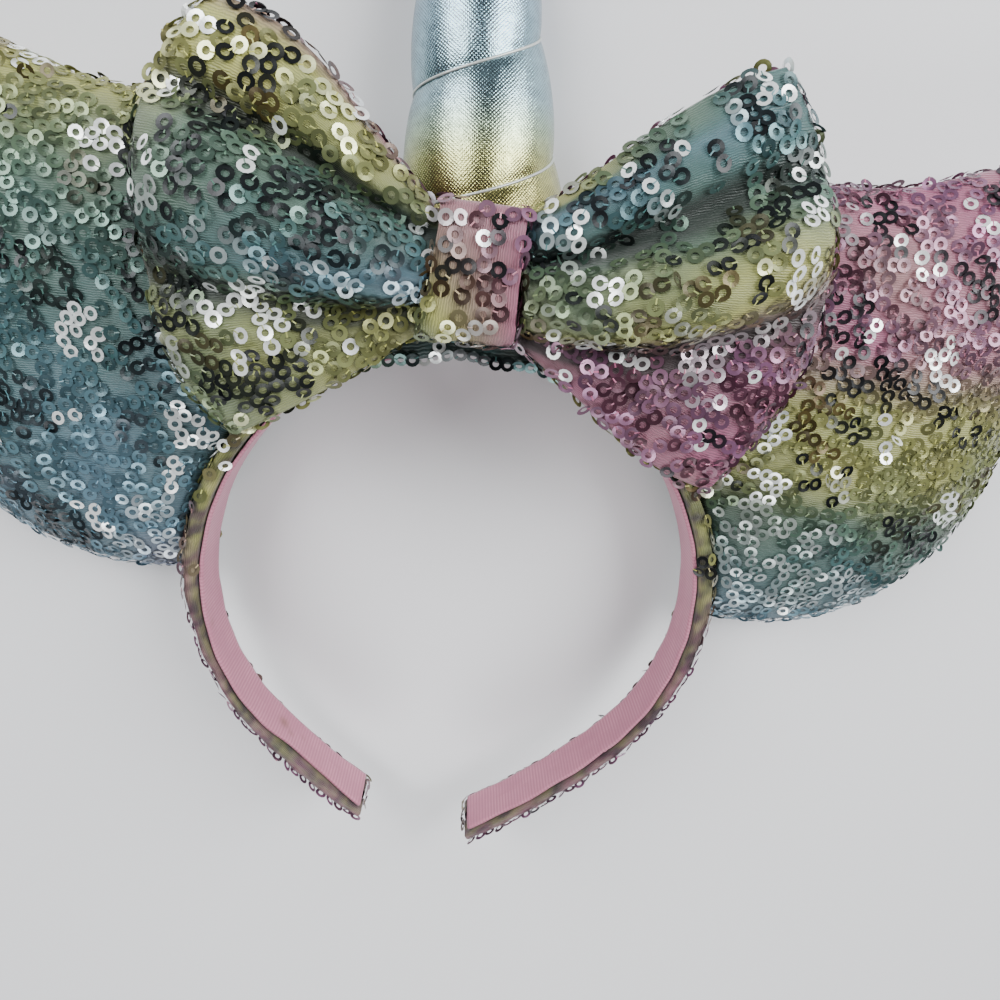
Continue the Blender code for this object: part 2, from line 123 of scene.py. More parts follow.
# The wrap: rings along it, folds, and the lip that bulges in front of the ribbon under the knot
WRAP_STEP = 1.1 * MM
WRAP_FIRST_RING = 1.2 * MM
WRAP_END_INSETS = np.array((0.03, 0.15, 0.40, 0.75)) * MM
WRAP_SIDES = 56
WRAP_SLIT = 3.0 * MM
WRAP_END_WIDTH = 0.86
WRAP_FOLD = 0.22 * MM
WRAP_FOLD_SPACING = 7.0 * MM
CROWN_LIP_HANG = 2.3 * MM
CROWN_LIP_FORWARD = 0.5 * MM
CROWN_LIP_REACH = 34.0 * MM
CROWN_LIP_WAVE = 17.0 * MM

# Dye and shade of the wrap: on the inner side, and what mottles, branches and the crown add
WRAP_MOTTLE = 9.0 * MM
WRAP_BLOTCH = 3.4 * MM
BRANCH_FROM = 75.0 * MM
BRANCH_BLEND = 30.0 * MM
CROWN_HALF_LENGTH = 24.0 * MM
WRAP_DYE = dict(plain=0.33, mottle=0.05, branch=-0.08, outer=0.03, crown=0.66, blotch=-0.16)
WRAP_SHADE = dict(plain=0.60, mottle=0.12, blotch=0.20, branch=0.02, crown=0.10, least=0.20, most=0.88)

# The ribbon is tucked under the wrap, crumpled and stained at a few places along it
RIBBON_TUCK = 2.2 * MM
RIBBON_TUCK_AT = -150.0 * MM
RIBBON_TUCK_LENGTH = 13.0 * MM
RIBBON_CRUMPLE_AT = 135.0 * MM
RIBBON_STAINS = (
    dict(along=-140 * MM, across=-0.5 * MM, reach=1.5 * MM, depth=0.75),
    dict(along=-143 * MM, across=0.9 * MM, reach=0.9 * MM, depth=0.45),
    dict(along=-147 * MM, across=-1.0 * MM, reach=0.7 * MM, depth=0.3),
    dict(along=-105 * MM, across=3.8 * MM, reach=1.0 * MM, depth=0.3),
)

# The ribbon's rows and section, and how its edges wave, lift and crumple
RIBBON_STEP = 0.8 * MM
RIBBON_SIDES = 30
RIBBON_CORNER = 0.35 * MM
RIBBON_WAVE = dict(height=0.176 * MM, length=13.0 * MM, drift=17.0 * MM)
RIBBON_LIFT = dict(height=0.12 * MM, length=21.0 * MM, phase=0.7)
RIBBON_CRUMPLE = dict(depth=0.22 * MM, length=1.9 * MM, reach=2.2 * MM)

# Puckers across the ears' seams, broad dents, and shade at the seat and low down
EAR_SPOKES = 181
EAR_RINGS = 46
PUCKER = dict(height=0.35 * MM, length=5.4 * MM, reach=0.09)
EAR_DENT = dict(height=0.5 * MM, length=34.0 * MM)
EAR_WOBBLE = dict(dye=0.03, length=22.0 * MM)
EAR_SHADE = dict(plain=0.06, seat=0.34, low=0.30)
EAR_LOW_FROM = 10.0 * MM
EAR_LOW_SPAN = 70.0 * MM

# The horn's rings and the creases that run out of its groove
HORN_SPOKES = 97
HORN_RINGS = 220
TIP_RINGS = 11
FOOT_RINGS = (0.05, 0.35, 0.7)
HORN_CREASE = dict(height=0.22 * MM, count=23, wander=7.0 * MM, reach=0.10)
CORD_STEPS = 900
CORD_SIDES = 6
CORD_LIFT = 0.28 * MM
CORD_FROM_FOOT = 0.3 * MM
CORD_FROM_TIP = 1.5 * MM

# The lobes' gathers and dents, and their shade
GATHER = dict(height=0.55 * MM, count=7.5, reach=0.16)
LOBE_COLUMNS = dict(above=62, below=46)
LOBE_RINGS = dict(inner=74, end=13)
LOBE_DENT = dict(height=0.4 * MM, length=17.0 * MM)
LOBE_WOBBLE = dict(dye=0.025, length=14.0 * MM)
BOW_SHADE = dict(plain=0.14, valley=1.9, valley_from=0.03, waist=0.35, waist_reach=0.06, tip=0.3, most=0.9)
LINING_DYE = dict(top=0.02, falling=0.3)

# The knot's round corners, seen from the side and along its edges, its gathers and its dye
KNOT_POWERS = dict(up=2 / 4.2, ahead=2 / 3.4, edge=0.4)
KNOT_GATHER = dict(height=0.3 * MM, count=7.5)
KNOT_RINGS = dict(around=181, section=45)
KNOT_WAVE = 0.25 * MM
KNOT_SLANT = 0.05
KNOT_DYE = dict(top=0.02, left=0.05, low_left=0.40, power=1.3)
KNOT_SHADE = 0.16

# Outer end of each lobe, from its top tip to its bottom tip.
# down: share of the way down, out: share of LOBE_LENGTH, up: share of LOBE_HEIGHT
LEFT_END = dict(
    down=(0.00, 0.25, 0.50, 0.75, 1.00),
    out=(0.735, 0.915, 0.925, 0.870, 0.660),
    up=(0.500, 0.270, 0.040, -0.220, -0.450),
)
RIGHT_END = dict(
    down=(0.00, 0.25, 0.50, 0.75, 1.00),
    out=(0.765, 0.940, 1.015, 0.970, 0.800),
    up=(0.520, 0.300, 0.050, -0.200, -0.468),
)
LEFT_EDGES = dict(top=0.065, bottom=0.012, shift=1.3)
RIGHT_EDGES = dict(top=0.037, bottom=0.038, shift=1.6)

# Folds that run out from the knot.
# knot and end: share of the way down, rise: share of LOBE_FRONT, width: share of the way down
LEFT_FOLDS = (
    dict(knot=0.10, end=0.10, rise=0.20, width=0.08),
    dict(knot=0.27, end=0.19, rise=-0.62, width=0.06),
    dict(knot=0.50, end=0.38, rise=0.42, width=0.14),
    dict(knot=0.80, end=0.62, rise=-0.45, width=0.05),
)
RIGHT_FOLDS = (
    dict(knot=0.20, end=0.09, rise=0.24, width=0.10),
    dict(knot=0.39, end=0.20, rise=-0.62, width=0.07),
    dict(knot=0.70, end=0.34, rise=0.48, width=0.12),
    dict(knot=0.92, end=0.52, rise=-0.35, width=0.05),
)
LEFT_LIP = dict(knot=0.745, end=0.56, drop=0.55, width=0.025, reach=0.65, knot_dye=0.33, end_dye=0.44)
RIGHT_LIP = dict(knot=0.87, end=0.46, drop=0.60, width=0.025, reach=1.10, knot_dye=0.03, end_dye=0.01)

# Dip dye. at: place along the dye, cloth: colour of the knit, foil: colour of a sequin on it
RAINBOW = dict(
    at=(0.00, 0.17, 0.33, 0.50, 0.67, 0.83, 1.00),
    cloth=("A4597A", "96806C", "A8A95A", "566F58", "3C6261", "557A8E", "86688C"),
    foil=("96688A", "8A7868", "9C9E62", "6A836A", "567C80", "7FA4B8", "A088A6"),
)
# Painted dark reflection: the near black that a sequin shows where it would mirror dark surroundings
DARK_REFLECTION_TINT = "14171A"
# Painted glint: the near white that a sequin shows where it would catch a light
GLINT_TINT = "FBFFFF"

# Tints: casts and shares over the ring's own colour, and spans that chance draws from. Black and brown tints
# are painted dark reflection, white, pale and yellow ones painted glints.
BROWN_CAST = (1.15, 0.86, 0.84)
BROWN_DEPTH = 0.36
YELLOW_CAST = (1.0, 1.0, 0.62)
YELLOW_LIGHT = 0.6
OWN_LIGHT = (0.30, 0.85)
DARK_REFLECTION_OWN = (0.0, 0.10)
WHITE_GLINT = (0.80, 1.0)
PALE_GLINT_SHARE = (0.12, 0.38)
THREAD_LIGHT = (0.9, 1.5)
THREAD_MOST = 0.9

# Dye over each lobe. down: share of the way down, knot and end: dye there
LEFT_DYE = dict(
    down=(0.00, 0.04, 0.18, 0.28, 0.45, 0.60, 0.80, 1.00),
    knot=(0.04, 0.34, 0.44, 0.60, 0.66, 0.80, 0.80, 0.60),
    end=(0.16, 0.33, 0.36, 0.48, 0.58, 0.72, 0.60, 0.40),
)
RIGHT_DYE = dict(
    down=(0.00, 0.05, 0.10, 0.25, 0.36, 0.44, 0.70, 1.00),
    knot=(0.31, 0.36, 0.78, 0.68, 0.58, 0.52, 0.44, 0.37),
    end=(0.66, 0.70, 0.72, 0.55, 0.40, 0.32, 0.30, 0.30),
)

# Dye over each ear, by height above the middle of the whole
LEFT_EAR_DYE = dict(
    height=np.array((-70, -45, -15, 10, 30, 45)) * MM,
    dye=(0.86, 0.78, 0.70, 0.58, 0.40, 0.15),
)
RIGHT_EAR_DYE = dict(
    height=np.array((-70, -55, -42, -28, -12, 2, 45)) * MM,
    dye=(0.80, 0.72, 0.55, 0.39, 0.31, 0.06, 0.00),
)

# Sequins
SEQUIN_RADIUS = 1.5 * MM
SEQUIN_HOLE_RADIUS = 0.70 * MM
SEQUIN_CUP = 0.12 * MM
SEQUIN_THICKNESS = 0.10 * MM
SEQUIN_SIDES = 12
SEQUIN_LEAN = np.radians(11.0)
SEQUIN_LEAN_SPREAD = np.radians(4.0)
SEQUIN_ROLL = np.radians(5.0)
SEQUIN_ROLL_LENGTH = 12.0 * MM
SEQUIN_ROLL_SPREAD = np.radians(3.0)
SEQUIN_LIFT = 0.2 * MM
SEQUIN_LIFT_SPREAD = 0.15 * MM
SEQUIN_SIZES = (0.96, 1.04)
LOOSE_SHARE = 0.05
LOOSE_LEANS = (-50.0, 60.0)
CHAIN_STEP = 2.6 * MM
CHAIN_CLEAR = 2.1 * MM
CHAIN_LINKS = (2, 9)
CHAIN_TRIES = 5
OFF_OTHERS = 1.1 * MM
STITCHED_SHARE = 0.75
STITCH_WIDTH = 0.36 * MM
STITCH_THICKNESS = 0.10 * MM
FLOOR_CLEAR = 0.9 * MM
LOWEST = 0.1 * MM
FRONT_EDGE_SHARE = 0.25

# Rings that hang over the wrap's inner edge on the left branch, by their place along it
LEFT_FRINGE = np.array((84, 92, 108, 111, 116.5, 126, 134, 136.6, 147, 149.6, 160)) * MM
RIGHT_FRINGE_FROM = 96 * MM
OUTER_FRINGE = dict(left_from=84 * MM, left_gap=1.15, right_from=88 * MM, right_gap=1.05)
CROWN_FRINGE_HALF = 30 * MM

# What is sewn on: the node it covers, rings to a square metre, a seed, and the nodes it keeps off
SEWN = (
    dict(name="ear_left_sequins", on="ear_left", density=0.115e6, seed=101, off=("band", "horn", "bow")),
    dict(name="ear_right_sequins", on="ear_right", density=0.115e6, seed=103, off=("band", "horn", "bow")),
    dict(name="bow_sequins", on="bow", density=0.14e6, seed=107, off=("bow_knot", "horn")),
    dict(name="knot_sequins", on="bow_knot", density=0.1e6, seed=109, off=("horn",)),
    dict(name="band_sequins", on="band", density=0.095e6, seed=113,
         off=("ear_left", "ear_right", "horn", "bow_knot")),
)
SLOTS = dict(
    band="olive_sequin_mesh", ribbon_lining="pink_grosgrain", ear_left="ear_left_sequin_mesh",
    ear_right="ear_right_sequin_mesh", horn="silver_lame", bow="bow_sequin_mesh",
    bow_knot="knot_sequin_mesh",
)

# Clumps of one tone that come by chance. length: how broad they are, level: how rare they are.
# They are rarer by QUIETER where the chart below applies, and a charted clump outranks them.
# The black and brown tones are painted dark reflection, the white one painted glints.
CHANCE_CLUMPS = dict(
    black=dict(length=21 * MM, level=0.75),
    white=dict(length=19 * MM, level=0.95),
    brown=dict(length=17 * MM, level=0.85),
)
CHANCE_SPREAD = 0.22
CHANCE_SLOPE = 0.8
CHANCE_MOST = 0.4
CHARTED_LEAST = 0.45
NEVER = -9.0
QUIETER = 0.3

# Clumps of rings of one tone, charted where the photograph shows them.
# Each row: from x, y to x, y in the photograph's 1000 x 1000 frame, and how far it reaches round that.
# Black and brown rows place painted dark reflection, white, pale and yellow rows painted glints; bare rows
# leave rings out.
CLUMPS = dict(
    black=(
        (235, 28, 262, 12, 11), (262, 12, 292, 38, 10), (224, 60, 320, 64, 11), (238, 76, 266, 78, 9),
        (196, 72, 197, 92, 8), (167, 118, 192, 124, 11), (170, 132, 172, 166, 9), (186, 144, 202, 168, 9),
        (208, 132, 258, 120, 10), (178, 184, 214, 190, 9), (237, 182, 266, 186, 9),
        (284, 180, 314, 196, 11), (304, 190, 318, 226, 11), (232, 206, 276, 208, 8), (328, 160, 312, 152, 8),
        (168, 211, 170, 211, 8), (333, 236, 328, 262, 9), (186, 272, 202, 284, 9), (164, 284, 188, 288, 8),
        (186, 305, 197, 314, 10), (186, 329, 188, 330, 8), (210, 370, 232, 374, 10), (216, 388, 234, 396, 10),
        (264, 352, 290, 366, 12), (252, 380, 298, 384, 14), (303, 324, 315, 332, 8), (379, 264, 382, 266, 8),
        (406, 214, 408, 216, 8), (434, 274, 450, 276, 8), (448, 246, 449, 258, 8), (493, 241, 494, 242, 8),
        (515, 247, 498, 266, 8), (502, 226, 516, 226, 7), (463, 266, 484, 276, 8),
        (462, 354, 500, 364, 13), (535, 248, 548, 256, 9), (590, 198, 604, 212, 10), (604, 226, 620, 234, 10),
        (579, 299, 580, 300, 7), (598, 311, 599, 311, 7), (614, 325, 615, 326, 7), (640, 216, 641, 217, 7),
        (665, 151, 667, 178, 10), (636, 183, 652, 170, 11), (708, 151, 716, 163, 8),
        (736, 96, 752, 92, 9), (748, 104, 776, 112, 10), (748, 124, 764, 124, 10), (790, 106, 790, 122, 7),
        (798, 186, 816, 181, 9), (721, 251, 720, 268, 9), (738, 245, 756, 242, 8), (738, 258, 740, 270, 8),
        (776, 235, 788, 252, 9), (743, 272, 763, 292, 9), (668, 266, 690, 266, 8), (763, 307, 764, 308, 8),
        (797, 334, 799, 336, 8), (710, 434, 712, 440, 8), (668, 474, 670, 476, 8),
        (825, 338, 838, 332, 11), (843, 306, 864, 309, 11), (842, 326, 860, 332, 10), (846, 340, 848, 342, 8),
        (832, 372, 866, 352, 11), (828, 384, 864, 382, 10), (832, 400, 812, 400, 9), (832, 420, 846, 420, 9),
        (855, 434, 857, 436, 8), (800, 486, 822, 484, 9), (786, 460, 812, 466, 9),
        (131, 274, 136, 302, 11), (146, 318, 154, 336, 10), (132, 336, 134, 342, 10), (160, 348, 152, 352, 9),
        (153, 465, 164, 469, 8), (130, 200, 136, 250, 9), (130, 126, 134, 170, 9),
    ),
    brown=(
        (224, 88, 208, 108, 10), (260, 100, 264, 106, 10), (147, 236, 160, 258, 11), (160, 270, 176, 268, 10),
        (226, 220, 258, 229, 8), (196, 349, 230, 356, 11), (204, 331, 206, 333, 8), (136, 358, 152, 380, 11),
        (350, 244, 362, 262, 10), (371, 252, 396, 268, 8), (466, 288, 520, 294, 13), (472, 300, 515, 308, 10),
        (779, 170, 780, 186, 12), (656, 288, 680, 292, 11), (672, 281, 674, 283, 8), (636, 320, 650, 316, 9),
        (629, 304, 631, 306, 8), (700, 292, 726, 284, 10), (777, 297, 779, 299, 8), (608, 386, 622, 402, 12),
        (634, 384, 636, 388, 8), (613, 368, 640, 376, 8), (727, 392, 778, 391, 12), (743, 404, 772, 402, 10),
        (645, 416, 650, 418, 9), (643, 441, 645, 442, 8), (675, 443, 677, 445, 8), (744, 422, 741, 438, 10),
        (726, 456, 728, 466, 9), (688, 460, 706, 468, 10), (690, 474, 744, 472, 9), (804, 396, 838, 412, 14),
        (796, 424, 816, 438, 13), (858, 236, 856, 270, 12), (840, 282, 856, 284, 9), (430, 262, 434, 290, 8),
        (130, 375, 160, 382, 9), (740, 215, 760, 235, 10),
    ),
    white=(
        (196, 18, 206, 22, 9), (175, 66, 171, 96, 9), (156, 90, 158, 91, 7), (199, 54, 202, 58, 7),
        (264, 134, 277, 126, 8), (248, 158, 252, 163, 9), (138, 153, 150, 150, 8), (147, 168, 149, 169, 8),
        (361, 106, 361, 122, 9), (319, 100, 323, 116, 6), (215, 293, 214, 308, 9), (232, 300, 246, 292, 9),
        (258, 286, 259, 302, 9), (210, 316, 228, 312, 8), (240, 312, 268, 316, 9), (236, 328, 238, 330, 8),
        (264, 332, 278, 326, 9), (265, 342, 278, 340, 8), (240, 346, 244, 360, 9), (306, 311, 307, 312, 7),
        (429, 219, 430, 231, 8), (426, 258, 427, 260, 6), (464, 231, 479, 236, 8), (439, 306, 440, 307, 7),
        (434, 342, 436, 344, 8), (595, 286, 613, 292, 9), (612, 310, 614, 312, 8), (592, 299, 594, 300, 7),
        (677, 154, 690, 148, 8), (628, 169, 630, 170, 6), (789, 68, 790, 70, 9), (780, 86, 783, 88, 9),
        (765, 82, 766, 97, 9), (797, 90, 798, 92, 7), (622, 360, 637, 362, 8), (634, 372, 635, 373, 7),
        (749, 372, 750, 373, 7), (673, 366, 675, 368, 5), (701, 426, 702, 427, 8), (546, 353, 548, 354, 6),
        (559, 363, 573, 368, 8), (563, 373, 574, 382, 7), (791, 267, 793, 268, 8), (787, 282, 808, 302, 7),
        (870, 328, 872, 330, 8), (577, 222, 580, 236, 8), (592, 255, 593, 256, 7), (625, 203, 626, 204, 7),
        (752, 474, 776, 484, 10), (756, 494, 772, 494, 8),
        (184, 410, 190, 426, 10), (166, 424, 210, 444, 10),
        (179, 446, 174, 486, 8), (438, 362, 430, 361, 9),
    ),
    pale=(
        (745, 512, 780, 524, 12), (716, 514, 740, 522, 9), (722, 545, 770, 535, 14), (726, 562, 800, 570, 10),
        (150, 184, 148, 200, 10), (206, 224, 190, 240, 9), (187, 242, 188, 258, 8), (222, 246, 238, 238, 9),
        (227, 262, 242, 262, 9), (251, 265, 270, 270, 8), (243, 273, 246, 282, 9), (271, 243, 273, 244, 7),
        (296, 265, 350, 272, 8), (350, 284, 414, 292, 9), (376, 280, 392, 284, 8), (418, 233, 420, 234, 8),
        (295, 345, 296, 346, 7), (171, 352, 188, 364, 9), (454, 218, 456, 220, 8), (517, 272, 518, 273, 8),
        (493, 305, 494, 306, 7), (480, 328, 492, 324, 9), (470, 336, 488, 337, 8), (511, 330, 522, 340, 9),
        (546, 220, 550, 238, 10), (568, 242, 570, 244, 8), (573, 265, 575, 266, 8), (575, 196, 576, 198, 8),
        (584, 281, 586, 282, 8), (549, 324, 550, 313, 8), (556, 333, 592, 336, 8), (729, 109, 734, 123, 9),
        (791, 156, 808, 166, 9), (712, 172, 714, 173, 8), (655, 206, 668, 204, 10), (668, 316, 669, 318, 8),
        (776, 320, 778, 321, 8), (815, 286, 806, 314, 9), (686, 330, 768, 334, 9), (700, 344, 713, 348, 9),
        (674, 348, 675, 350, 7), (689, 362, 708, 360, 9), (689, 377, 712, 376, 9), (697, 400, 720, 402, 10),
        (756, 446, 757, 447, 8), (712, 484, 728, 480, 9), (859, 213, 846, 240, 10), (840, 213, 841, 214, 8),
        (827, 474, 842, 490, 9), (166, 340, 170, 356, 9), (187, 364, 188, 372, 9), (130, 500, 165, 508, 12),
        (128, 540, 165, 540, 14), (730, 590, 850, 585, 20), (800, 545, 830, 535, 12), (447, 355, 449, 356, 9),
    ),
    yellow=(
        (186, 34, 214, 56, 12), (158, 84, 152, 112, 10), (300, 60, 340, 100, 11), (336, 110, 352, 150, 10),
        (244, 44, 256, 50, 8), (770, 264, 771, 266, 8), (717, 303, 718, 304, 7),
        (452, 323, 446, 338, 8), (314, 395, 316, 397, 8), (240, 420, 252, 424, 8),
    ),
    bare=(
        (214, 8, 226, 16, 9), (462, 244, 478, 258, 6), (704, 128, 700, 240, 13), (740, 150, 730, 200, 12),
        (640, 240, 600, 262, 10), (690, 100, 716, 112, 8), (440, 205, 520, 205, 4), (150, 118, 145, 136, 7),
    ),
)

# Camera, worked out from the photograph
CAMERA_PLACE = Vector((-4.14, 11.754, 186.892)) * MM
CAMERA_RIGHT = Vector((0.99196, 0.12070, 0.03717))
CAMERA_UP = Vector((-0.10290, 0.94311, -0.31614))
CAMERA_FORWARD = Vector((0.0732, -0.3098, -0.9480))
CAMERA_SENSOR_MM = 36.0
CAMERA_LENS_MM = 27.036
PHOTO_SIZE = 1000
PHOTO_SHOWN_HALF_WIDTH = 375

# Studio. across and toward: how far a soft box stands off the vertical, in degrees
SOFTBOXES = (
    dict(name="left_softbox", across=-40.0, toward=36.0, size=(0.42, 0.80), power=11.0),
    dict(name="right_softbox", across=47.0, toward=36.0, size=(0.50, 0.80), power=16.0),
    dict(name="low_softbox", across=-5.0, toward=-60.0, size=(0.90, 0.35), power=7.0),
)
SOFTBOX_DISTANCE = 0.95
SKY_STRENGTH = 0.55
FLOOR_HALF = 4.0
FLOOR_DROP = 0.1 * MM

# Sizes that follow from the ones above
BAND_INNER = RIBBON_RADIUS + RIBBON_THICKNESS + SEAM_GAP
BAND_OUTER = BAND_INNER + BAND_THICKNESS
SEAT_RADIUS = BAND_OUTER + SEAM_GAP
REST_DEPTH = EAR_SET_BACK + EAR_HALF_THICKNESS
HORN_SLOPE = (HORN_BASE_RADIUS - HORN_TIP_RADIUS) / HORN_LENGTH
HORN_CENTRE_Z = HORN_BASE_RADIUS + HORN_BULGE - REST_DEPTH
EAR_FRONT = EAR_HALF_THICKNESS - EAR_SET_BACK
ARC_LENGTH = RIBBON_RADIUS * ARC_ANGLE
LEFT_TIP = -(ARC_LENGTH + LEFT_END_LENGTH)
RIGHT_TIP = ARC_LENGTH + RIGHT_END_LENGTH

# A wave texture of scale 1 repeats after this length
WAVE_REPEAT = 2 * np.pi / 20

# Places read from the frame
band_low, band_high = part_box("band")
knot_low, knot_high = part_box("bow_knot")
ARC_CENTRE = np.array((0.0, band_high.y - BAND_OUTER, (band_low.z + band_high.z) / 2))
KNOT_CENTRE = np.array((knot_low + knot_high) / 2)
LOBE_BACK = KNOT_CENTRE[2] - ARC_CENTRE[2] - EAR_FRONT - LOBE_TO_EAR


# Colours and nodes

def linear(code):
    """An sRGB hex colour as linear red, green, blue and alpha."""
    parts = np.array([int(code[k:k + 2], 16) / 255 for k in (0, 2, 4)])
    low = parts / 12.92
    high = ((parts + 0.055) / 1.055) ** 2.4
    return (*np.where(parts <= 0.04045, low, high), 1.0)


def fill(tree, node, inputs):
    """Gives a node's inputs their values, and links those whose value is an output socket."""
    for key, value in inputs.items():
        if isinstance(value, bpy.types.NodeSocket):
            tree.links.new(value, node.inputs[key])
        else:
            node.inputs[key].default_value = value


def add(tree, kind, inputs=None, stops=(), **settings):
    """Adds a node. Each input is a value or an output socket to link; stops fill a colour ramp."""
    node = tree.nodes.new(kind)
    for key, value in settings.items():
        setattr(node, key, value)
    fill(tree, node, inputs or {})
    for at, code in stops[1:-1]:
        node.color_ramp.elements.new(at)
    for k, (at, code) in enumerate(stops):
        node.color_ramp.elements[k].position = at
        node.color_ramp.elements[k].color = linear(code)
    return node


def new_material(name):
    made = bpy.data.materials.new(name)
    made.use_nodes = True
    return made, made.node_tree, made.node_tree.nodes["Principled BSDF"]


def dyed_knit():
    """Polyester stretch knit, dip-dyed: fine wavering courses catch the light and the gaps between
    them are dark, so the cloth looks finely ribbed and a little silky."""
    made, tree, shader = new_material("dip_dyed_polyester_knit")
    course, patch_size = 0.48 * MM, 5 * MM
    uv = add(tree, "ShaderNodeUVMap").outputs["UV"]
    rib = add(tree, "ShaderNodeTexWave", {
        "Vector": uv, "Scale": WAVE_REPEAT / course, "Distortion": 7.0, "Detail": 3.0,
        "Detail Scale": 0.5, "Detail Roughness": 0.7}, bands_direction="Y").outputs["Fac"]
    patch = add(tree, "ShaderNodeTexNoise", {"Vector": uv, "Scale": 1 / patch_size, "Detail": 3.0})
    dye = add(tree, "ShaderNodeAttribute", attribute_name="dye").outputs["Fac"]
    shade = add(tree, "ShaderNodeAttribute", attribute_name="shade").outputs["Fac"]
    cloth = add(tree, "ShaderNodeValToRGB", {"Fac": dye},
                stops=list(zip(RAINBOW["at"], RAINBOW["cloth"]))).outputs[0]
    deep = add(tree, "ShaderNodeMix", {"Factor": 0.42, "A": cloth, "B": linear("1E2624")},
               data_type="RGBA").outputs["Result"]
    ribbed = add(tree, "ShaderNodeMix", {"Factor": rib, "A": deep, "B": cloth},
                 data_type="RGBA").outputs["Result"]
    worn = add(tree, "ShaderNodeMapRange", {"Value": patch.outputs["Fac"], "From Min": 0.35,
                                            "From Max": 0.7, "To Min": 0.0, "To Max": 0.55})
    patchy = add(tree, "ShaderNodeMix", {"Factor": worn.outputs[0], "A": ribbed, "B": deep},
                 data_type="RGBA").outputs["Result"]
    shaded = add(tree, "ShaderNodeMix", {"Factor": shade, "A": patchy, "B": linear("101A17")},
                 data_type="RGBA").outputs["Result"]
    bump = add(tree, "ShaderNodeBump", {"Height": rib, "Strength": 0.7, "Distance": 0.11 * MM})
    fill(tree, shader, {"Base Color": shaded, "Normal": bump.outputs[0], "Roughness": 0.5,
                        "Sheen Weight": 0.2})
    return made


def sequin_film():
    """Metallised polyester film, punched and cupped: shiny, and half of its colour is its own."""
    made, tree, shader = new_material("metallised_film_sequins")
    tint = add(tree, "ShaderNodeAttribute", attribute_name="tint")
    fill(tree, shader, {"Base Color": tint.outputs["Color"], "Metallic": 0.5, "Roughness": 0.28})
    return made


def stitch_thread():
    """Nylon monofilament: it takes the colour of the cloth, so a stitch looks like a gap in a ring."""
    made, tree, shader = new_material("nylon_stitches")
    tint = add(tree, "ShaderNodeAttribute", attribute_name="tint")
    fill(tree, shader, {"Base Color": tint.outputs["Color"], "Roughness": 0.3})
    return made


def foil_lame():
    """Foil-printed lamé: an open plain weave on the bias. Each thread is a small mirror with a dark
    gap beside it, drawn at half a millimetre so that it shows."""
    made, tree, shader = new_material("foil_printed_lame")
    pitch, wear_size, grain_size = 0.5 * MM, 2.2 * MM, 0.45 * MM
    uv = add(tree, "ShaderNodeUVMap").outputs["UV"]
    turned = add(tree, "ShaderNodeMapping", {"Vector": uv, "Rotation": (0, 0, np.radians(45.0))})
    threads = [
        add(tree, "ShaderNodeTexWave", {
            "Vector": turned.outputs[0], "Scale": WAVE_REPEAT / pitch, "Distortion": 0.5, "Detail": 1.0,
            "Detail Scale": 0.3}, bands_direction=direction).outputs["Fac"]
        for direction in ("X", "Y")
    ]
    crossing = add(tree, "ShaderNodeMath", {0: threads[0], 1: threads[1]}, operation="MULTIPLY")
    wear = add(tree, "ShaderNodeTexNoise", {"Vector": uv, "Scale": 1 / wear_size, "Detail": 4.0,
                                            "Roughness": 0.75})
    grain = add(tree, "ShaderNodeTexNoise", {"Vector": uv, "Scale": 1 / grain_size, "Detail": 1.0})
    height = add(tree, "ShaderNodeMath", {0: grain.outputs["Fac"], 1: 1.6, 2: crossing.outputs[0]},
                 operation="MULTIPLY_ADD")
    dye = add(tree, "ShaderNodeAttribute", attribute_name="dye").outputs["Fac"]
    foil = add(tree, "ShaderNodeValToRGB", {"Fac": dye}, stops=[
        (0.00, "DCD3D4"), (0.07, "A98F7C"), (0.12, "705240"), (0.155, "908048"), (0.20, "B4AF70"),
        (0.25, "BEC284"), (0.285, "AFC5A8"), (0.325, "A0BFC8"), (0.42, "9ABBCA"), (0.60, "A9B1D2"),
        (0.80, "C8A9CC"), (1.00, "D6A8BC"),
    ]).outputs[0]
    gap = add(tree, "ShaderNodeMapRange", {"Value": crossing.outputs[0], "From Min": 0.05,
                                           "From Max": 0.28, "To Min": 0.75, "To Max": 0.0})
    shown = add(tree, "ShaderNodeMapRange", {"Value": wear.outputs["Fac"], "From Min": 0.3,
                                             "From Max": 0.62, "To Min": 0.2, "To Max": 1.0})
    gap = add(tree, "ShaderNodeMath", {0: gap.outputs[0], 1: shown.outputs[0]}, operation="MULTIPLY")
    woven = add(tree, "ShaderNodeMix", {"Factor": gap.outputs[0], "A": foil, "B": linear("2A2D2B")},
                data_type="RGBA").outputs["Result"]
    bump = add(tree, "ShaderNodeBump", {"Height": height.outputs[0], "Strength": 0.55,
                                        "Distance": 0.06 * MM})
    fill(tree, shader, {"Base Color": woven, "Normal": bump.outputs[0], "Metallic": 1.0,
                        "Roughness": 0.24})
    return made


def groove_braid():
    """Lurex cord laid in the groove: a thin dull silver line."""
    made, tree, shader = new_material("lurex_cord")
    fill(tree, shader, {"Base Color": linear("C9CFCC"), "Metallic": 0.6, "Roughness": 0.4})
    return made


